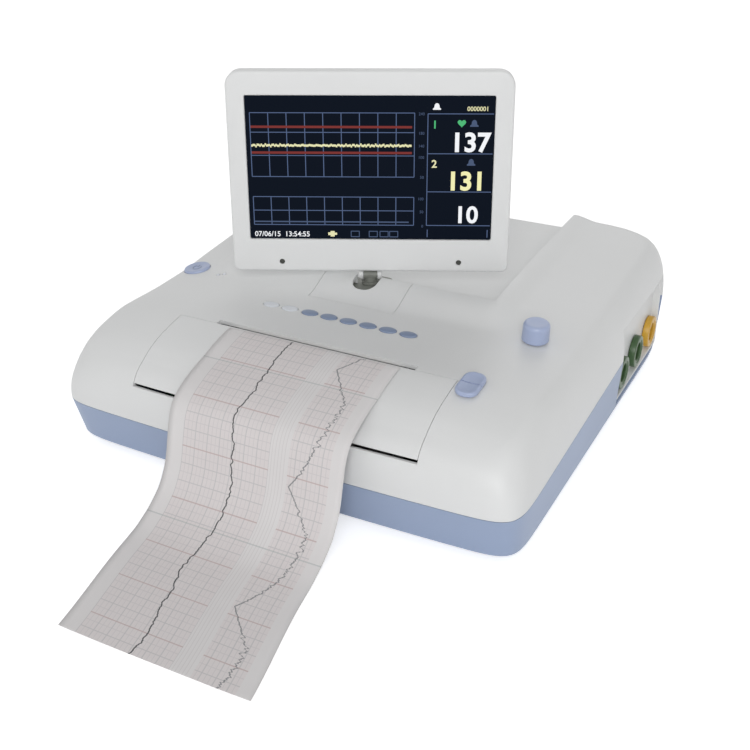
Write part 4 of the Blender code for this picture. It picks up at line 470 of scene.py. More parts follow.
def top_loft(name, shrink=0, drop=0, below=0, step=3.2 * MM):
    """The deck as a grid, then rings down the shoulder (cos, sin)^(2/n) to the seam."""
    us, vs = grid_lines(HALF_W, step), grid_lines(HALF_D, step)
    nu, nv = len(us), len(vs)
    u, v = np.meshgrid(us, vs, indexing="ij")
    x, y = plan(u, v, REACH + shrink)
    points = [np.stack([x, y, deck(x, y) - drop], -1).reshape(-1, 3)]
    a = (np.arange(nu - 1)[:, None] * nv + np.arange(nv - 1)).ravel()
    faces = np.stack([a, a + nv, a + nv + 1, a + 1], -1).tolist()
    i, j = border(nu, nv)
    last, start = i * nv + j, nu * nv
    for angle in np.radians((80, 70, 60, 50, 40, 30, 21, 13, 6, 0)):
        inset = REACH * (1 - math.cos(angle) ** (2 / POWER))
        x, y = plan(us[i], vs[j], inset + shrink)
        foot = seam_z(y) + GAP / 2
        z = foot + math.sin(angle) ** (2 / POWER) * (deck(x, y) - drop - foot)
        if angle == 0:
            z = z - below
        here = start + np.arange(len(i))
        faces += np.stack([here, np.roll(here, -1), np.roll(last, -1), last], -1).tolist()
        points.append(np.stack([x, y, z], -1))
        last, start = here, start + len(i)
    return add_mesh(name, np.concatenate(points), faces + [last.tolist()])


def tray_loft(name, shrink=0, above=0, floor=FOOT_Z):
    """Rings from the seam down a slightly raked wall and round the bottom edge."""
    us, vs = grid_lines(HALF_W, 12 * MM), grid_lines(HALF_D, 12 * MM)
    i, j = border(len(us), len(vs))
    x, y = plan(us[i], vs[j], shrink)
    loops = [np.stack([x, y, seam_z(y) - GAP / 2 + above], -1)]
    for angle in np.radians((0, 18, 36, 54, 72, 90)):
        inset = shrink + 2 * MM + 3 * MM * (1 - math.cos(angle))
        x, y = plan(us[i], vs[j], inset, 5 * MM)
        loops.append(np.stack([x, y, floor + 3 * MM * (1 - math.sin(angle)) + 0 * x], -1))
    return rings(name, np.stack(loops))


def deck_matrix(x, y, probe=1 * MM):
    """A frame that stands on the deck with its Z along the deck's normal."""
    rise_x = float(deck(x + probe, y) - deck(x - probe, y)) / (2 * probe)
    rise_y = float(deck(x, y + probe) - deck(x, y - probe)) / (2 * probe)
    normal = Vector((-rise_x, -rise_y, 1)).normalized()
    across = Vector((1, 0, rise_x)).normalized()
    turned = Matrix((across, normal.cross(across), normal)).transposed().to_4x4()
    return Matrix.Translation((x, y, float(deck(x, y)))) @ turned


print("deck height in the middle:", round(float(deck(0, 0)) / MM, 1), "mm")

# %% [markdown]
# The deck carries six keys, two lit windows, a power button, two lamps, a knob and a latch.
# Their holes and the pieces take their places from the same values.

# %% Places on the deck
KEYS = [((-23.7 + 13.3 * k) * MM, -58 * MM) for k in range(6)]
WINDOWS = [((-51.2 + 13.3 * k) * MM, -58 * MM) for k in range(2)]
LAMPS = [((-107 + 3.6 * k) * MM, (-34.4 + 1.8 * k) * MM) for k in range(2)]
POWER_AT, KNOB_AT, LATCH_AT = (-127.5 * MM, -29 * MM), (111 * MM, -31 * MM), (99.8 * MM, -99.5 * MM)
KEY_A, KEY_B = 5.4 * MM, 3.6 * MM
BAY_Y, BAY_Z, BAY_BACK = (33 * MM, 131.5 * MM), (9.5 * MM, 62 * MM), 138.3 * MM
SOCKETS = [(51.5 + 33.2 * k) * MM for k in range(3)]
SOCKET_Z = 23.8 * MM


def deck_holes(case):
    """Cuts the holes of all that stands in the deck, each along the deck's normal."""
    ovals = [(place, KEY_A, KEY_B) for place in WINDOWS + KEYS]
    ovals += [(place, 1.1 * MM, 1.1 * MM) for place in LAMPS]
    ovals += [(POWER_AT, 8.7 * MM, 8.7 * MM), (KNOB_AT, 3 * MM, 3 * MM)]
    for place, half_x, half_y in ovals:
        hole = oval(half_x + GAP, half_y + GAP, 48)
        carve(case, levels("hole", [(hole, -7 * MM), (hole, 4 * MM)], deck_matrix(*place)))
    half_w, half_l = 2.8 * MM, 4.3 * MM
    carve(case, block("hole", (-half_w, -half_l, -7 * MM), (half_w, half_l + 4 * MM, 4 * MM),
                      deck_matrix(*LATCH_AT, 10.75 * MM)))


def recess_box(name, margin=0):
    """The room in which the screen lies when it is folded, open above and behind."""
    return block(name, (RECESS_X - RECESS_HALF - margin, RECESS_FRONT - margin,
                        RECESS_FLOOR - margin),
                 (RECESS_X + RECESS_HALF + margin, HALF_D + OVER, SKY))


def bay_box(name):
    """The socket bay's opening in the right side."""
    return block(name, (BAY_BACK, BAY_Y[0], BAY_Z[0]), (HALF_W + OVER, BAY_Y[1], BAY_Z[1]))


# %% Case top
case_top = top_loft("case_top")
cavity = top_loft("cavity", WALL, WALL, OVER, 9 * MM)
carve(cavity, recess_box("shell", WALL))
carve(case_top, cavity)
for x, y in SCREWS:
    carve(case_top, rod("boss", POST_R, POST_TOP + GAP, float(deck(x, y)) - 1 * MM, over(x, y),
                        24), "UNION")
carve(case_top, recess_box("recess"))
carve(case_top, block("door", (-DOOR_HALF - GAP, -HALF_D - OVER, DOOR_LOW - 2 * MM),
                      (DOOR_HALF + GAP, DOOR_REAR + GAP, REAR_Z)))
SLOT_HALF, SLOT_WIDTH = 65.5 * MM, 4.7 * MM
carve(case_top, block("slot", (-SLOT_HALF, DOOR_REAR - OVER, DOOR_LOW),
                      (SLOT_HALF, DOOR_REAR + SLOT_WIDTH, REAR_Z)))
across = np.linspace(-1, 1, 9) * (DOOR_HALF + GAP / 2)
carve(case_top, lathe("sweep", [(6.3 * MM - 3.2 * MM * (x / HALF_W) ** 2, x) for x in across],
                      along_x(0, DOOR_Y, DOOR_Z), 48))
COVER = (-37 * MM, 22 * MM, -36.5 * MM)
carve(case_top, block("cover", (COVER[0] - GAP, COVER[2] - GAP, RECESS_FLOOR - GAP),
                      (COVER[1] + GAP, RECESS_FRONT + GAP, SKY)))
carve(case_top, block("cover", (COVER[0] - GAP, COVER[2] - GAP, RECESS_FLOOR - 2 * OVER),
                      (COVER[1] + GAP, RECESS_FRONT - WALL - GAP, SKY)))
deck_holes(case_top)
carve(case_top, bay_box("bay"))
carve(case_top, rod("spindle", 4.3 * MM, RECESS_FLOOR - 7 * MM, SKY, over(HINGE.x, HINGE.y)))
dress(case_top, "case", white_abs, ["upper_case"])
print("case top:", len(case_top.data.polygons), "faces")

# %% [markdown]
# The tray is the blue lower half. It has a battery hatch, a speaker grille, screw pillars and the
# mouths of the two rear ports, all cut from one closed loft.

# %% Case tray
case_tray = tray_loft("case_tray")
carve(case_tray, tray_loft("tray_cavity", WALL, OVER, FOOT_Z + WALL))
BATTERY = (-114 * MM, 16 * MM, -42 * MM, 114 * MM)
for margin, high in ((GAP, 6.5 * MM), (-3 * MM, 12 * MM)):
    carve(case_tray, block("hatch", (BATTERY[0] - margin, BATTERY[1] - margin, 1 * MM),
                           (BATTERY[2] + margin, BATTERY[3] + margin, high)))
GRILLE_X, GRILLE_Y, GRILLE_PITCH = (-113 * MM, -87 * MM), -12 * MM, 6 * MM
for k in range(5):
    y = GRILLE_Y + GRILLE_PITCH * (k - 2)
    carve(case_tray, block("grille", (GRILLE_X[0], y - 1.25 * MM, 1 * MM),
                           (GRILLE_X[1], y + 1.25 * MM, 12 * MM)))
head_room = mm((3.1, 1), (3.1, 7.7), (1.7, 7.7), (1.7, 16))
for x, y in SCREWS:
    carve(case_tray, rod("pillar", POST_R, 6 * MM, POST_TOP, over(x, y)), "UNION")
    carve(case_tray, lathe("bore", head_room, over(x, y), 32))
PORTS, PORT_Z, PORT_H = ((-95 * MM, 6.3 * MM), (-30 * MM, 12.8 * MM)), 24 * MM, 6.3 * MM
for x, w in PORTS:
    carve(case_tray, block("port", (x - w, HALF_D - 12 * MM, PORT_Z - PORT_H),
                           (x + w, HALF_D + OVER, PORT_Z + PORT_H)))
carve(case_tray, bay_box("bay"))
dress(case_tray, "case", blue_abs, ["lower_case"])
print("case tray:", len(case_tray.data.polygons), "faces")

# %% [markdown]
# The printer door is cut from the deck's own skin, so that its edges run flush with the case.
# Inside it has arms on the hinge rod, two cheeks for the platen roller and a catch lug.

# %% Printer door
door = top_loft("door_shell")
carve(door, top_loft("under", WALL, WALL, OVER, 6 * MM))
carve(door, block("region", (-DOOR_HALF, -HALF_D - OVER, DOOR_LOW), (DOOR_HALF, DOOR_REAR, REAR_Z)),
      "INTERSECT")
for side in (-1, 1):
    x0, x1 = sorted((side * 87.1 * MM, side * 90.7 * MM))
    carve(door, rod("arm", 2.9 * MM, x0, x1, along_x(0, DOOR_Y, DOOR_Z)), "UNION")
    x0, x1 = sorted((side * 58.3 * MM, side * 60.8 * MM))
    carve(door, block("cheek", (x0, -109.5 * MM, 62 * MM), (x1, -98.5 * MM, 75 * MM)), "UNION")
carve(door, block("lug", *mm((84.5, -102, 66.5), (90.5, -100, 74))), "UNION")
carve(door, rod("hinge", 1.5 * MM, -95 * MM, 95 * MM, along_x(0, DOOR_Y, DOOR_Z), 24))
carve(door, rod("roller", 2.3 * MM, -64 * MM, 64 * MM, along_x(0, -104 * MM, 66.5 * MM)))
dress(door, "printer_door", white_abs, ["printer_door"])
print("door:", len(door.data.polygons), "faces")

# %% [markdown]
# The hinge cover is a small lid in front of the recess. It is cut from the same skin, with a notch
# for the screen's post and a round room under it.

# %% Hinge cover
cover = top_loft("cover_shell")
carve(cover, top_loft("under", WALL, WALL, OVER, 6 * MM))
skirt = block("skirt", (COVER[0], RECESS_FRONT - WALL, RECESS_FLOOR),
              (COVER[1], RECESS_FRONT, SKY))
carve(skirt, top_loft("limit", WALL / 2, WALL / 2, 40 * MM, 9 * MM), "INTERSECT")
carve(cover, skirt, "UNION")
carve(cover, block("region", (COVER[0], COVER[2], RECESS_FLOOR), (COVER[1], RECESS_FRONT, SKY)),
      "INTERSECT")
rear = RECESS_FRONT + 2 * OVER
notch = rounded(16.6 * MM, rear + 22.5 * MM, 7.2 * MM, (-7.8 * MM, (rear - 22.5 * MM) / 2))
carve(cover, levels("notch", [(notch, 70 * MM), (notch, SKY)]))
carve(cover, rod("room", 8.2 * MM, 70 * MM, SKY, over(HINGE.x, HINGE.y), 48))
plate = rounded(22.6 * MM, 31.6 * MM, 4 * MM, (HINGE.x, -9 * MM))
carve(cover, levels("plate", [(plate, 70 * MM), (plate, RECESS_FLOOR + 3.8 * MM)]))
dress(cover, "case", white_abs, ["hinge_cover"])
print("hinge cover:", len(cover.data.polygons), "faces")

# %% [markdown]
# The screen. A white frame with a soft front edge holds the display; its back is a pillow with
# two ears for the tilt pin. Both are outlines carried along the screen's own normal.

# %% Screen casing
FACING = Matrix.Rotation(math.pi / 2, 4, "X")
SWIVEL = Matrix.Translation(HINGE) @ Matrix.Rotation(math.radians(25.3), 4, "Z")
TILTED = SWIVEL @ Matrix.Rotation(math.radians(-4.4), 4, "X")
SCREEN = TILTED @ FACING
SCREEN_W, SCREEN_H, SCREEN_UP, FRONT = 171.8 * MM, 123.7 * MM, 4 * MM, 7 * MM
WIN_W, WIN_H, WIN_UP = 149.4 * MM, 88.7 * MM, 20.7 * MM


def screen_outline(inset=0):
    """The screen's outline, drawn in by the inset: wide corners above, tight below."""
    return rounded(SCREEN_W - 2 * inset, SCREEN_H - 2 * inset, max(9 * MM - inset, 2 * MM),
                   (0, SCREEN_UP + SCREEN_H / 2), low_radius=max(4 * MM - inset, 2 * MM))


def window_outline(margin=0):
    """The outline of the display's window in the frame."""
    return rounded(WIN_W + 2 * margin, WIN_H + 2 * margin, 1 * MM,
                   (0, SCREEN_UP + WIN_UP + WIN_H / 2))


ROUND = 1.6 * MM
turns = np.radians((0, 18, 36, 54, 72, 90))
front_edge = [(screen_outline(ROUND * (1 - math.sin(t))), FRONT - ROUND * (1 - math.cos(t)))
              for t in turns]
frame_piece = levels("screen_frame", front_edge + [
    (screen_outline(), -1 * MM), (screen_outline(2 * MM), -1 * MM),
    (screen_outline(2 * MM), 5 * MM), (window_outline(), 5 * MM),
    (window_outline(), 6.6 * MM), (window_outline(0.4 * MM), FRONT)], SCREEN, closed=True)
POCKET_X, POCKET_UP = 55.2 * MM, 10.2 * MM
for side in (-1, 1):
    pocket = SCREEN @ Matrix.Translation((side * POCKET_X, POCKET_UP, 0))
    carve(frame_piece, rod("pocket", 1.7 * MM, 5.7 * MM, 9 * MM, pocket))
    plug = lathe(f"screw_plug_{'left' if side < 0 else 'right'}",
                 mm((0.3, 5.85), (1.2, 5.85), (1.6, 5.95), (1.6, 6.3), (1.3, 6.55), (0.3, 6.6)),
                 pocket, 32)
    dress(plug, "screen", dark_abs)
dress(frame_piece, "screen", white_abs, ["screen_bezel"])

back = -1.3 * MM
slope = ((0, 0), (4, 1.8), (8, 3.6), (12.2, 5.35), (13.2, 5.75), (14.4, 6.1), (15.8, 6.27),
         (17.5, 6.3))
pillow = [(screen_outline(inset * MM), back - 1.2 * MM - depth * MM) for inset, depth in slope]
cover_back = levels("screen_back", pillow[::-1] + [
    (screen_outline(), back), (screen_outline(2 * MM), back),
    (screen_outline(2 * MM), back - 1.2 * MM), (screen_outline(15 * MM), back - 4.8 * MM)],
    SCREEN)
tilt_axis = TILTED @ along_x(0, 0, 0)
for low, high in mm((-7.1, -4.5), (4.5, 7.1)):
    ear = rod("ear", 3.5 * MM, low, high, tilt_axis, 48)
    neck = block("neck", (low, 1.3 * MM, 0), (high, 3.5 * MM, 13 * MM), TILTED)
    carve(cover_back, united("ear", (ear, neck)), "UNION")
carve(cover_back, rod("bore", 1.8 * MM, -11 * MM, 11 * MM, tilt_axis))
dress(cover_back, "screen", white_abs, ["screen_rear_cover"])
print("screen frame:", len(frame_piece.data.polygons), "faces")

# %% [markdown]
# The display. The real one is a dark blue LCD page with grids, two limit lines, a trace and
# three readings. Each colour is its own thin raised plate in front of the panel, so that the
# page stays sharp in close views. The readings are text turned into mesh.

# %% Display finishes
def lit(name, code, strength=1.0):
    """A backlit pixel area: its light is its colour, under a clear front."""
    made, tree, face = shader(name, Roughness=0.25, Base_Color=(0, 0, 0, 1),
                              Emission_Color=colour(code), Emission_Strength=strength,
                              Specular_IOR_Level=0.03)
    rows = add(tree, "TexNoise", Vector=own_space(tree), Scale=1 / (0.5 * MM))
    bright = add(tree, "MapRange", Value=rows.outputs["Fac"], in3=0.9 * strength,
                 in4=1.1 * strength)
    feed(tree, face, Emission_Strength=bright.outputs[0])
    return made


page_blue = lit("LCD page, dark blue", "#0b1422", 0.8)
grid_blue = lit("LCD grid, slate blue", "#56678a")
limit_red = lit("LCD limit lines, dull red", "#7d3532")
trace_cream = lit("LCD trace, pale yellow", "#e6e3b4")
digit_white = lit("LCD reading, white", "#f4f6fa")
digit_cream = lit("LCD reading, pale yellow", "#f3efb4")
mark_green = lit("LCD mark, green", "#4fb878")
mark_dim = lit("LCD small marks, dim", "#4b5a77")

print("display finishes ready")

# %% [markdown]
# Shares across and down the display place everything on it. Lines are narrow boxes, and one mesh
# holds all the boxes of a colour.

# %% Display plates
PANEL_Z, TEXT_Z = 4.7 * MM, 4.88 * MM


def spot(u, v):
    """Shares across and down the display, in the screen's own metres."""
    return (u - 0.5) * WIN_W, SCREEN_UP + WIN_UP + (1 - v) * WIN_H


def plates(name, boxes, finish, lift=0.05 * MM, thick=0.05 * MM):
    """Thin closed boxes, one for each (u0, v0, u1, v1) of the display."""
    points, faces = [], []
    for u0, v0, u1, v1 in boxes:
        (x0, y1), (x1, y0) = spot(u0, v0), spot(u1, v1)
        start = len(points)
        for z in (PANEL_Z + lift, PANEL_Z + lift + thick):
            points += [(x0, y0, z), (x1, y0, z), (x1, y1, z), (x0, y1, z)]
        faces += [[start + k for k in face] for face in ring_faces(2, 4, False)]
    piece = add_mesh(name, placed(points, SCREEN), faces)
    return dress(piece, "screen", finish)


def line_h(u0, u1, v, w=0.0055):
    """A level line as a box in shares of the display."""
    return (u0, v - w / 2, u1, v + w / 2)


def line_v(u, v0, v1, w=0.0034):
    """An upright line as a box in shares of the display."""
    return (u - w / 2, v0, u + w / 2, v1)


plates("display_page", [(0.0, 0.0, 1.0, 1.0)], page_blue, lift=0, thick=0.04 * MM)
columns = np.linspace(0.018, 0.68, 10)
grid_boxes = [line_v(u, 0.12, 0.558) for u in columns] + [line_v(u, 0.70, 0.90) for u in columns]
grid_boxes += [line_h(0.018, 0.68, v) for v in (0.12, 0.252, 0.411, 0.558, 0.70, 0.797, 0.90)]
grid_boxes += [line_v(0.733, 0.125, 0.90), line_v(0.985, 0.93, 0.985), line_v(0.737, 0.93, 0.985)]
grid_boxes += [line_h(0.733, 0.995, v) for v in (0.125, 0.395, 0.66, 0.90)]
plates("display_grid", grid_boxes, grid_blue)
plates("display_limits", [line_h(0.02, 0.67, v, 0.016) for v in (0.215, 0.391)], limit_red,
       lift=0.1 * MM)
steps = np.linspace(0.02, 0.668, 120)
wave = 0.341 + 0.0045 * np.sin(steps * 310) * np.sin(steps * 97 + 1) + 0.003 * np.sin(steps * 733)
trace = [(a, w - 0.0075, b + 0.0006, w + 0.0075) for a, b, w in zip(steps[:-1], steps[1:], wave)]
plates("display_trace", trace, trace_cream, lift=0.15 * MM)
plates("display_pressure", [line_h(0.02, 0.66, 0.878, 0.009)], mark_dim, lift=0.1 * MM)
small = [(0.325, 0.955, 0.352, 0.975), (0.335, 0.945, 0.352, 0.985), (0.352, 0.957, 0.362, 0.973)]
plates("display_plug_mark", small, trace_cream, lift=0.1 * MM)
dim = []
for left in (0.42, 0.495, 0.54, 0.58):
    dim += [line_h(left, left + 0.036, 0.945, 0.006), line_h(left, left + 0.036, 0.985, 0.006),
            line_v(left + 0.001, 0.945, 0.985), line_v(left + 0.035, 0.945, 0.985)]
plates("display_small_marks", dim, mark_dim, lift=0.1 * MM)


# %% [markdown]
# The readings are figures from a font, made into mesh and set on the display. Their outlines are
# offset outwards, because the real page uses bold figures.

# %% Readings
def reading(name, words, u, v, height, finish, align="RIGHT", weight=0.0):
    """Figures of the given height whose foot stands at (u, v) of the display."""
    curve = bpy.data.curves.new(name, "FONT")
    curve.body, curve.align_x, curve.size = words, align, height / 0.7
    curve.extrude, curve.resolution_u, curve.offset = 0.03 * MM, 4, weight
    text = bpy.data.objects.new(name, curve)
    bpy.context.scene.collection.objects.link(text)
    bpy.context.view_layer.update()
    mesh = bpy.data.meshes.new_from_object(
        text.evaluated_get(bpy.context.evaluated_depsgraph_get()))
    bpy.data.objects.remove(text, do_unlink=True)
    x, y = spot(u, v)
    mesh.transform(SCREEN @ Matrix.Translation((x, y, TEXT_Z)))
    piece = bpy.data.objects.new(name, mesh)
    bpy.context.scene.collection.objects.link(piece)
    return dress(piece, "screen", finish)


for name, words, u, v, height, finish, weight in (
        ("rate_1", "137", 0.985, 0.378, 11.2, digit_white, 0.45),
        ("rate_2", "131", 0.972, 0.645, 11.2, digit_cream, 0.45),
        ("pressure", "10", 0.945, 0.878, 10.3, digit_white, 0.35),
        ("channel_1", "1", 0.772, 0.222, 4.6, mark_green, 0.15),
        ("channel_2", "2", 0.772, 0.490, 4.6, trace_cream, 0.15),
        ("clock", "07/06/15  13:54:55", 0.018, 0.985, 3.2, digit_white, 0.06),
        ("number", "0000001", 0.975, 0.105, 2.6, trace_cream, 0.06)):
    reading(f"reading_{name}", words, u, v, height * MM, finish,
            "LEFT" if name == "clock" else "RIGHT", weight * MM)
scale = (("240", 0.135), ("180", 0.265), ("140", 0.352), ("100", 0.43), ("50", 0.568),
         ("100", 0.72), ("50", 0.812), ("0", 0.915))
for number, (words, v) in enumerate(scale):
    reading(f"reading_scale_{number}", words, 0.72, v, 1.7 * MM, mark_dim)


def outline_plate(name, u, v, size, shape, finish):
    """A small mark: a closed outline, given in shares of its size, as a thin prism."""
    x, y = spot(u, v)
    outline = np.asarray(shape) * size + (x, y)
    return dress(levels(name, [(outline, 4.84 * MM), (outline, 4.9 * MM)], SCREEN), "screen",
                 finish)


t = np.linspace(0, 2 * np.pi, 48, endpoint=False)
heart = np.column_stack([16 * np.sin(t) ** 3, 13 * np.cos(t) - 5 * np.cos(2 * t)
                         - 2 * np.cos(3 * t) - np.cos(4 * t)]) / 32
outline_plate("mark_heart", 0.868, 0.187, 5 * MM, heart, mark_green)
bell = np.array([(-.55, -.4), (.55, -.4), (.55, -.25), (.36, -.1), (.33, .2), (.2, .42), (0, .5),
                 (-.2, .42), (-.33, .2), (-.36, -.1), (-.55, -.25)])
for name, u, v in (("mark_bell_1", 0.918, 0.19), ("mark_bell_2", 0.91, 0.455)):
    outline_plate(name, u, v, 4.6 * MM, bell, mark_dim)
outline_plate("mark_head", 0.768, 0.078, 4.4 * MM, bell, digit_white)
print("display pieces ready")

# %% [markdown]
# The chart. Thermal paper leaves the slot behind the door, lies over the door, drops over the
# front edge and rests a little askew on the table. It is one ribbon along a smooth route. The
# grid and the two recordings are drawn by its material from the ribbon's own UV map, which
# holds real metres, so that they follow every bend.

# %% Paper route
PAPER_W, PAPER_T, PAPER_X = 112 * MM, 0.2 * MM, 1.5 * MM
NIP_Y = -96.5 * MM
stack_y, stack_z = -33 * MM, FOOT_Z + WALL + 1.5 * MM + 0.6 * MM + 16 * MM + 0.6 * MM
rise = [(stack_y + (NIP_Y - stack_y) * a, stack_z + (DOOR_LOW - stack_z) * b)
        for a, b in zip((0, .2, .6, .88, 1), (0, .16, .5, .76, 1))]
edge = float(deck(0, DOOR_REAR))
route = rise + [(NIP_Y, 74.2 * MM), (NIP_Y + GAP, edge), (NIP_Y, edge + 1 * MM)]
for share in (.04, .2, .36, .5):
    y = DOOR_REAR - (HALF_D + DOOR_REAR) * share
    route.append((y, float(deck(0, y)) + 1.0 * MM))
(last_y, last_z), end_y, end_z = route[-1], -283 * MM, 0.45 * MM
fall_y = (.085, .158, .209, .237, .258, .275, .29, .335, .405, .481, .551, .78, 1)
fall_z = (.953, .895, .829, .739, .58, .435, .338, .186, .073, .012, 0, 0, 0)
route += [(last_y + (end_y - last_y) * a, end_z + (last_z - end_z) * b)
          for a, b in zip(fall_y, fall_z)]
route = np.array(route)


def through(points, count, rounds=1):
    """Points resampled evenly along a smooth line through the given ones."""
    way = np.concatenate([[0], np.cumsum(np.linalg.norm(np.diff(points, axis=0), axis=1))])
    even = np.linspace(0, way[-1], count)
    line = np.stack([np.interp(even, way, points[:, k]) for k in range(points.shape[1])], -1)
    for _ in range(rounds):
        line[1:-1] = (line[:-2] + 2 * line[1:-1] + line[2:]) / 4
    return line


line = through(route, 420, 30)
line[:, 1] = np.maximum(line[:, 1], end_z)
along = np.gradient(line, axis=0)
along /= np.linalg.norm(along, axis=1)[:, None]
normal = np.column_stack([along[:, 1], -along[:, 0]])
share = np.clip((line[:, 0] + 186 * MM) / (-283 * MM + 186 * MM), 0, 1)
middle = PAPER_X + 16 * MM * share ** 2 * (2 - share)
length = np.concatenate([[0], np.cumsum(np.linalg.norm(np.diff(line, axis=0), axis=1))])
slot_at = length[np.argmax(line[:, 1] > edge + 0.5 * MM)]
print("paper:", round(length[-1] / MM), "mm long, out of the slot at", round(slot_at / MM))

# %% [markdown]
# The ribbon is a strip of 29 points across, carried along the route. Past the door its edges curl
# up a little, as thermal paper does. Its UV map holds metres across and metres along.

# %% Paper ribbon
CROSS = 29
v = np.linspace(-0.5, 0.5, CROSS)
curl = 1.2 * MM * np.abs(2 * v) ** 3
lift = ease(-0.165, -0.20, line[:, 0])[:, None] * curl
loops = []
for side, order in ((-1, 1), (1, -1)):
    off = side * PAPER_T / 2 + lift * 0.5
    row = np.stack([middle[:, None] + PAPER_W * v + 0 * off,
                    line[:, 0:1] + normal[:, 0:1] * off, line[:, 1:2] + normal[:, 1:2] * off], -1)
    loops.append(row[:, ::order])
ribbon = np.concatenate(loops, axis=1)
chart = bpy.data.meshes.new("chart_paper")
count = ribbon.shape[1]
chart.from_pydata(ribbon.reshape(-1, 3).tolist(), [], ring_faces(len(ribbon), count, False))
uv = chart.uv_layers.new(name="chart")
place = np.empty(len(chart.loops), int)
chart.loops.foreach_get("vertex_index", place)
across = np.concatenate([v, v[::-1]])[place % count] * PAPER_W + PAPER_W / 2
down = length[place // count]
uv.data.foreach_set("uv", np.column_stack([across, down]).ravel())
strip = bpy.data.objects.new("chart_paper", chart)
bpy.context.scene.collection.objects.link(strip)

print("paper:", len(chart.polygons), "faces")

# %% [markdown]
# Thermal paper is a matt, slightly warm white. Its grid is pale, with a stronger line every 10 mm
# across and every 30 mm along, and two bands hold the recordings. The upper one wanders about a
# middle value, the lower one climbs and falls like a contraction. Mathematics on the UV map draws
# them: a line is where the distance to a value is less than half the line's width.

# %% Paper material: thermal paper with its printed grid and two recordings
paper, tree, face = shader("thermal paper, printed grid", Roughness=0.6, IOR=1.45)
uv_node = add(tree, "UVMap", {"uv_map": "chart"})
axes = add(tree, "SeparateXYZ", in0=uv_node.outputs[0])
U, V = axes.outputs[0], axes.outputs[1]


def calc(operation, a, b=0.0, c=0.0):
    """One Math node; its output can feed the next."""
    return add(tree, "Math", {"operation": operation}, in0=a, in1=b, in2=c).outputs[0]


def lines_at(value, pitch, width, offset=0.0):
    """1 on lines of the given width every pitch, from the distance to the nearest line."""
    near = calc("PINGPONG", calc("SUBTRACT", value, offset), pitch / 2)
    return calc("LESS_THAN", near, width / 2)


def between(value, low, high):
    """1 where low < value < high, else 0."""
    return calc("MULTIPLY", calc("GREATER_THAN", value, low), calc("LESS_THAN", value, high))


FOLD_PITCH, CLIMB_SHARE = 100 * MM, 0.3
rate_zone = between(U, 10.5 * MM, 66.6 * MM)
load_zone = between(U, 78.5 * MM, 103.6 * MM)
zones = calc("MAXIMUM", rate_zone, load_zone)
fine = calc("MAXIMUM", lines_at(U, 2.67 * MM, 0.4 * MM, 10.6 * MM), lines_at(V, 5 * MM, 0.5 * MM))
bold = calc("MAXIMUM", lines_at(U, 8 * MM, 0.7 * MM, 10.6 * MM), lines_at(V, 10 * MM, 0.6 * MM))
minute = lines_at(V, 30 * MM, 0.7 * MM)
# A darker line at each fold: the perforation, with painted shade of the crease that the smooth
# ribbon lacks.
fold = lines_at(V, FOLD_PITCH, 0.8 * MM, 22 * MM)


def noise_of(value, size, detail=2):
    """1D noise of about 0.5 ± 0.25 whose bumps are as long as the size."""
    return add(tree, "TexNoise", {"noise_dimensions": "1D"}, W=value, Scale=1 / size,
               Detail=detail).outputs["Fac"]


wander = calc("MULTIPLY", calc("SUBTRACT", noise_of(V, 45 * MM, 1), 0.5), 15 * MM)
shake = calc("MULTIPLY", calc("SUBTRACT", noise_of(V, 5 * MM, 2), 0.5), 3.2 * MM)
rate_at = calc("ADD", calc("ADD", wander, shake), 43.5 * MM)
rate_line = calc("LESS_THAN", calc("ABSOLUTE", calc("SUBTRACT", U, rate_at)), 0.4 * MM)
phase = calc("FRACT", calc("DIVIDE", calc("SUBTRACT", V, 30 * MM), 78 * MM))
climb = calc("DIVIDE", phase, CLIMB_SHARE)
fallen = calc("DIVIDE", calc("SUBTRACT", phase, CLIMB_SHARE), 1 - CLIMB_SHARE)
back_part = calc("POWER", calc("MAXIMUM", fallen, 0.0), 2.5)
shape = calc("MINIMUM", climb, calc("SUBTRACT", 1.0, back_part))
jitter = calc("MULTIPLY", calc("SUBTRACT", noise_of(V, 2.2 * MM, 2), 0.5), 7.5 * MM)
load_at = calc("ADD", calc("MULTIPLY_ADD", shape, 17 * MM, 80 * MM),
               calc("MULTIPLY", jitter, shape))
load_line = calc("LESS_THAN", calc("ABSOLUTE", calc("SUBTRACT", U, load_at)), 0.45 * MM)
middle_band = calc("MULTIPLY", between(U, 67.5 * MM, 77.5 * MM),
                   lines_at(U, 2 * MM, 0.4 * MM, 68 * MM))

# The inks, from the paler bands below to the recordings on top. The grey fold line among them is
# partly the perforation and partly painted shade of the crease.
mottle = add(tree, "TexNoise", Vector=own_space(tree), Scale=1 / (25 * MM))
base = mix(tree, mottle.outputs["Fac"], "#dedbdb", "#e4e2e2")
for mask, code, amount in (
        (zones, "#dccfcf", 0.3), (middle_band, "#c9c4c4", 0.45),
        (calc("MULTIPLY", zones, fine), "#c4c0c2", 0.42),
        (calc("MULTIPLY", zones, bold), "#b3b4b6", 0.34),
        (calc("MULTIPLY", zones, minute), "#c09a96", 0.45), (fold, "#a9b0b0", 0.5),
        (load_line, "#7b7d80", 0.85), (rate_line, "#3b3e42", 0.95)):
    base = mix(tree, calc("MULTIPLY", mask, amount), base, code)
feed(tree, face, Base_Color=base)
strip.data.shade_smooth()
strip.data.materials.append(paper)
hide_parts("paper_strip")
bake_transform(strip)

# %% [markdown]
# Buttons. Each is a small moulding with a domed crown. The keys are ovals, the power button
# and the knob are turned, and the latch is a long rounded slider with a thumb dish.

# %% Keys, windows and lamps
def dome(radius_x, radius_y, low, wall, crown, inset):
    """Ovals up a wall, then over a quarter-ellipse crown to a small flat top."""
    pairs = [(oval(radius_x, radius_y), low), (oval(radius_x, radius_y), wall)]
    for t in np.radians((20, 40, 60, 75, 86)):
        k = 1 - inset * (1 - math.cos(t))
        pairs.append((oval(radius_x * k, radius_y * k), wall + crown * math.sin(t)))
    return pairs


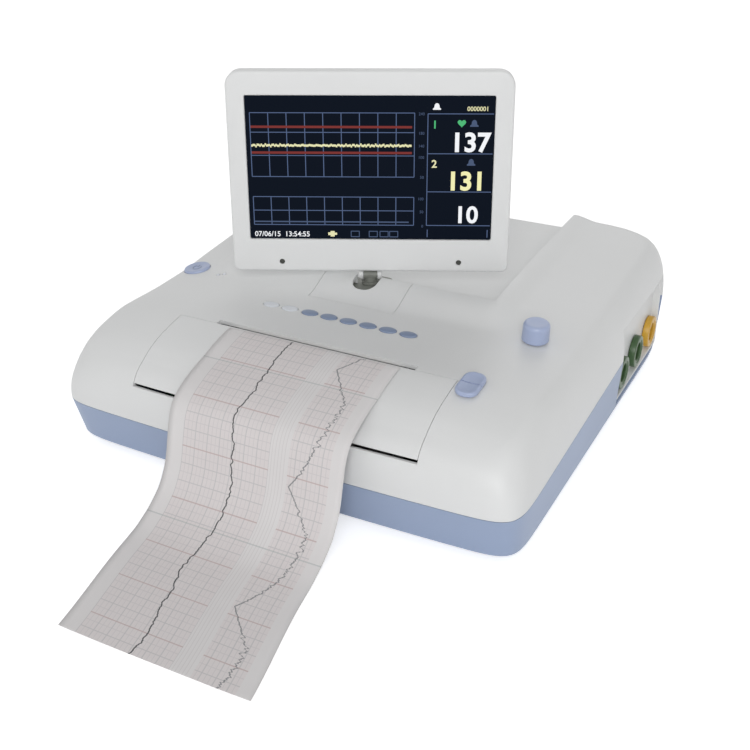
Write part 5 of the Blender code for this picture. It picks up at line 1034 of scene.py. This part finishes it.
KEY_FLANGE, KEY_SKIRT_TOP = 0.8 * MM, -2.8 * MM
for number, place in enumerate(KEYS, 1):
    collar = oval(KEY_A + KEY_FLANGE, KEY_B + KEY_FLANGE)
    skirt = [(collar, KEY_SKIRT_TOP - KEY_FLANGE), (collar, KEY_SKIRT_TOP)]
    crown = dome(KEY_A, KEY_B, KEY_SKIRT_TOP, 0.3 * MM, 0.65 * MM, 0.8)
    key = levels(f"key_cap_{number}", skirt + crown, deck_matrix(*place))
    dress(key, f"key_{number}", key_abs, [f"key_{number}"])

lens = dome(KEY_A, KEY_B, -11.5 * MM, 0.05 * MM, 0.4 * MM, 0.6)
lenses = [levels("light_guide", lens, deck_matrix(*place)) for place in WINDOWS]
bar_z = float(deck(0, -58 * MM)) - 12.5 * MM
bar = block("bar", (-52 * MM, -59.8 * MM, bar_z), (-37 * MM, -56.2 * MM, bar_z + 2 * MM))
guide = united("light_guide", [*lenses, bar])
dress(guide, "case", lamp_guide, ["indicator_windows"])

bulb = mm((1.7, -4.8), (1.7, -3.1), (1.1, -3.1), (1.1, 0.1), (0.8, 0.4), (0.2, 0.5))
lamps = united("deck_lamps", [lathe("deck_lamps", bulb, deck_matrix(*place), 32)
                              for place in LAMPS])
dress(lamps, "case", lamp_guide, ["status_lamps"])

print("keys:", len(KEYS), "lit windows:", len(WINDOWS), "lamps:", len(LAMPS))

# %% [markdown]
# The power button and the jog knob are turned shapes: a profile about an axis that stands on the
# deck. The button's face is slightly dished and carries the usual power symbol.

# %% Power button and knob
power_seat = deck_matrix(*POWER_AT)
cap = lathe("power_cap", mm((9.5, -6.5), (9.5, -6), (8.7, -6), (8.7, 0.7), (8.45, 1.15),
                            (7.9, 1.4), (7, 1.4), (5, 1), (2, 0.8), (0.3, 0.78)), power_seat, 72)
dress(cap, "power", control_abs, ["power_button"])
turn = np.radians(np.linspace(125, 415, 40))
arc = np.column_stack([np.cos(turn), np.sin(turn)])
ringlet = np.concatenate([3.1 * MM * arc, 2.5 * MM * arc[::-1]])
symbol = levels("power_symbol_ring", [(ringlet, 0.75 * MM), (ringlet, 1.05 * MM)], power_seat)
carve(symbol, block("tick", *mm((-0.3, 0.9, 0.75), (0.3, 3.6, 1.05)), power_seat), "UNION")
dress(symbol, "power", key_abs)

knob_seat = deck_matrix(*KNOB_AT)
KNOB_R, KNOB_TOP = 8 * MM, 12.1 * MM
wall = [(KNOB_R - 0.5 * MM, 0.9 * MM), (KNOB_R, 1.4 * MM), (KNOB_R - 0.15 * MM, 9.3 * MM)]
crown = [(KNOB_R - 0.15 * MM - 2.0 * MM * (1 - math.cos(a)), 9.6 * MM + 2.5 * MM * math.sin(a))
         for a in np.radians((5, 25, 45, 65, 85))]
top = [(4.2 * MM, KNOB_TOP - 0.15 * MM), (0.3 * MM, KNOB_TOP - 0.25 * MM)]
bore = mm((0.3, 7.4), (3.3, 7.4), (3.3, 0.9))
turning = lathe("jog_knob", bore + wall + crown + top, knob_seat, 96)
dress(turning, "knob", control_abs, ["knob"])

print("power button and knob ready")

# %% [markdown]
# The latch is a pill-shaped slider, with a soft rim, a shallow thumb dish and one groove across.

# %% Latch button
latch_seat = deck_matrix(*LATCH_AT, 10.75 * MM)


def pill(inset):
    """The slider's outline, drawn in by the inset."""
    return rounded(12.8 * MM - 2 * inset, 21.5 * MM - 2 * inset, 5.5 * MM - min(inset, 5 * MM))


slider_side = mm((0, 0.6), (0, 2.2), (0.2, 2.6), (0.6, 2.9), (1.2, 3), (2.2, 2.75), (3.5, 2.6))
slider = levels("latch_slider", [(pill(inset), z) for inset, z in slider_side], latch_seat)
carve(slider, block("stem", *mm((-2.5, -4, -5.6), (2.5, 4, 1.5)), latch_seat), "UNION")
carve(slider, block("groove", *mm((-7, -0.35, 2.1), (7, 0.35, 5)), latch_seat))
dress(slider, "latch", control_abs, ["latch_button"])

# %% [markdown]
# The bay on the right holds three round transducer sockets. The insert is a shallow white tray
# with a soft rim, and each socket a turned plastic ring round a bore with contact pins.

# %% Socket bay
def bay_outline(inset):
    """The bay's rectangle seen along X: first coordinate down, second to the back."""
    return rounded((BAY_Z[1] - BAY_Z[0]) - 2 * inset, (BAY_Y[1] - BAY_Y[0]) - 2 * inset,
                   max(3 * MM - inset, 0.6 * MM),
                   (-(BAY_Z[0] + BAY_Z[1]) / 2, (BAY_Y[0] + BAY_Y[1]) / 2), 6)


bay_side = [(GAP, BAY_BACK + GAP)] + mm((0.3, 144.6), (0.7, 145), (1.5, 145), (1.9, 144.6),
                                       (1.9, 141), (2.4, 140.5))
bay = levels("bay_insert", [(bay_outline(inset), x) for inset, x in bay_side], along_x(0, 0, 0))
for y in SOCKETS:
    carve(bay, rod("hole", 8.8 * MM, 130 * MM, 150 * MM, along_x(0, y, SOCKET_Z), 64))
dress(bay, "case", white_abs, ["socket_bay"])

socket_side = mm((0.3, 132.3), (8.5, 132.3), (8.5, 140.8), (10.5, 140.8), (10.8, 141.1),
                 (10.8, 144.4), (10.5, 145), (10, 145.2), (8.2, 145.2), (7.8, 144.7),
                 (6.6, 144.7), (6.2, 144.2), (6.2, 135.7), (3.5, 135.7), (3.4, 137.1),
                 (0.3, 137.2))
pin_side = mm((0.35, 136.9), (0.35, 140.6), (0.12, 140.9))
PIN_RING = 2.2 * MM
for name, y, finish, slot_name in zip(("fhr_socket_front", "fhr_socket_rear", "toco_socket"),
                                      SOCKETS, (green_socket, green_socket, yellow_socket),
                                      ("socket_green", "socket_green", "socket_yellow")):
    ring = lathe(f"{name}_body", socket_side, along_x(0, y, SOCKET_Z), 72)
    dress(ring, "case", finish, [name])
    pins = [lathe("pin", pin_side, along_x(0, y + PIN_RING * math.cos(a),
                                           SOCKET_Z + PIN_RING * math.sin(a)), 12)
            for a in (2 * math.pi * k / 6 for k in range(6))]
    dress(united(f"{name}_pins", pins), "case", brass)

print("sockets:", len(SOCKETS))

# %% [markdown]
# Four rubber feet carry the case. Each is a turned puck with a rounded rim and a dimple.

# %% Rubber feet
FOOT_AT = 126 * MM
puck = mm((0.3, 0.25), (5.2, 0.25), (5.6, 0), (6.5, 0), (7.2, 0.3), (7.5, 1), (7.5, 4.7),
          (0.3, 4.7))
for name, (x, y) in {"front_left": (-1, -1), "front_right": (1, -1), "rear_right": (1, 1),
                     "rear_left": (-1, 1)}.items():
    foot = lathe(f"rubber_foot_{name}", puck, over(x * FOOT_AT, y * FOOT_AT), 48)
    dress(foot, "case", rubber, [f"foot_{name}"])
print("small pieces ready")

# %% [markdown]
# The solids that keep their own shape, mostly inside, get the finish of the real part.

# %% Finishes of the solids
FINISHES = {
    blue_abs: ("battery_cover",),
    battery_wrap: ("battery_pack",),
    steel: ("case_screw_1", "case_screw_2", "case_screw_3", "case_screw_4", "tilt_pin",
            "hinge_nut", "door_hinge_rod", "roller_shaft", "stepper_motor",
            "knob_spindle", "knob_encoder", "latch_hook", "serial_port"),
    black_steel: ("print_bridge",),
    aluminium: ("head_sink",),
    brass: ("motor_pinion",),
    post_grey: ("hinge_post", "hinge_base"),
    dark_abs: ("dc_inlet", "speaker"),
    panel_glass: ("lcd_module",),
    rubber: ("platen_roller",),
    white_abs: ("paper_tray",),
    stack_paper: ("paper_pack",),
    ceramic: ("thermal_head",),
    board: ("screen_board", "key_board", "power_switch_board", "socket_board", "main_board",
            "power_board"),
    lamp_guide: ("roller_gear",),
}
for finish, nodes in FINISHES.items():
    for node in nodes:
        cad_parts[node].data.materials.clear()
        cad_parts[node].data.materials.append(finish)
print("solids with a finish:", sum(len(nodes) for nodes in FINISHES.values()))

# %% [markdown]
# The studio: a pale floor, soft area lamps and an even pale sky. The camera stands where the
# photograph was taken from: 28 degrees to the right of the front and 28 degrees up.

# %% Floor and light
def seen_white(tree):
    """1 for what the eye sees directly, in a mirror or through glass, else 0."""
    path = add(tree, "LightPath")
    direct = add(tree, "Math", {"operation": "MAXIMUM"}, in0=path.outputs["Is Camera Ray"],
                 in1=path.outputs["Is Glossy Ray"])
    return add(tree, "Math", {"operation": "MAXIMUM"}, in0=direct.outputs[0],
               in1=path.outputs["Is Transmission Ray"]).outputs[0]


FLOOR_GLOW = 0.55
ground, tree, face = shader("studio floor, matt white", Roughness=0.9,
                            Emission_Color=(1, 1, 1, 1))
soft = add(tree, "TexNoise", Vector=own_space(tree), Scale=4.0)
glow = add(tree, "Math", {"operation": "MULTIPLY"}, in0=seen_white(tree), in1=FLOOR_GLOW)
feed(tree, face, Base_Color=mix(tree, soft.outputs["Fac"], "#fbfbfb", "#ffffff"),
     Emission_Strength=glow.outputs[0])
floor = block("studio_floor", (-6, -6, -0.02), (6, 6, 0))
floor.data.materials.append(ground)
floor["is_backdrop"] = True

world = bpy.data.worlds.new("studio")
bpy.context.scene.world = world
world.use_nodes = True
tree = world.node_tree
tree.nodes.clear()
sky = add(tree, "Background", Color=(1, 1, 1, 1), Strength=0.45)
white = add(tree, "Background", Color=(1, 1, 1, 1), Strength=1.0)
both = add(tree, "MixShader", in0=seen_white(tree), in1=sky.outputs[0], in2=white.outputs[0])
add(tree, "OutputWorld", in0=both.outputs[0])


def lamp(name, place, target, size, power):
    """A square area lamp that faces the target."""
    light = bpy.data.lights.new(name, "AREA")
    light.shape, light.size, light.energy = "SQUARE", size, power
    made = bpy.data.objects.new(name, light)
    made.location = place
    made.rotation_euler = (Vector(target) - Vector(place)).to_track_quat("-Z", "Y").to_euler()
    bpy.context.scene.collection.objects.link(made)


lamp("key light", (0.7, -1.5, 0.95), (0, 0, 0.05), 0.8, 12)
lamp("fill light", (-1.4, -0.7, 1.2), (0, 0, 0.05), 1.1, 0.8)
lamp("rear light", (-0.3, 1.6, 1.2), (0, 0, 0.05), 1.1, 2.5)

print("lamps:", len(bpy.data.lights))

# %% [markdown]
# The camera's direction and focal length were solved from the photograph's own corners.

# %% Camera
back = Vector((0.41204, -0.77957, 0.47168)).normalized()
up = Vector((-0.21184, 0.42152, 0.88173))
right = up.cross(back).normalized()
up = back.cross(right)
turn = Matrix((right, up, back)).transposed().to_4x4()
lens = bpy.data.cameras.new("camera")
lens.sensor_width, lens.lens = 36, 1128.3 / 750 * 36
lens.shift_x, lens.shift_y = (375 - 368.0) / 750, (363.8 - 375) / 750
lens.clip_start, lens.clip_end = 0.01, 50
camera = bpy.data.objects.new("camera", lens)
camera.matrix_world = Matrix.Translation((0.2971, -0.5900, 0.3736)) @ turn
bpy.context.scene.collection.objects.link(camera)
bpy.context.scene.camera = camera
bpy.context.scene.view_settings.view_transform = "Standard"

print("camera at", [round(c, 3) for c in camera.matrix_world.translation])

# %% [markdown]
# Both boxes, of the solids and of the visual model, are kept and printed side by side. The
# visual model has to stay inside the box of the solids.

# %% Sizes
visual_box = [list(corner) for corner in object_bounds()]
for label, (low, high) in (("CAD", cad_box), ("visual", visual_box)):
    print(label, [round((b - a) / MM, 2) for a, b in zip(low, high)])
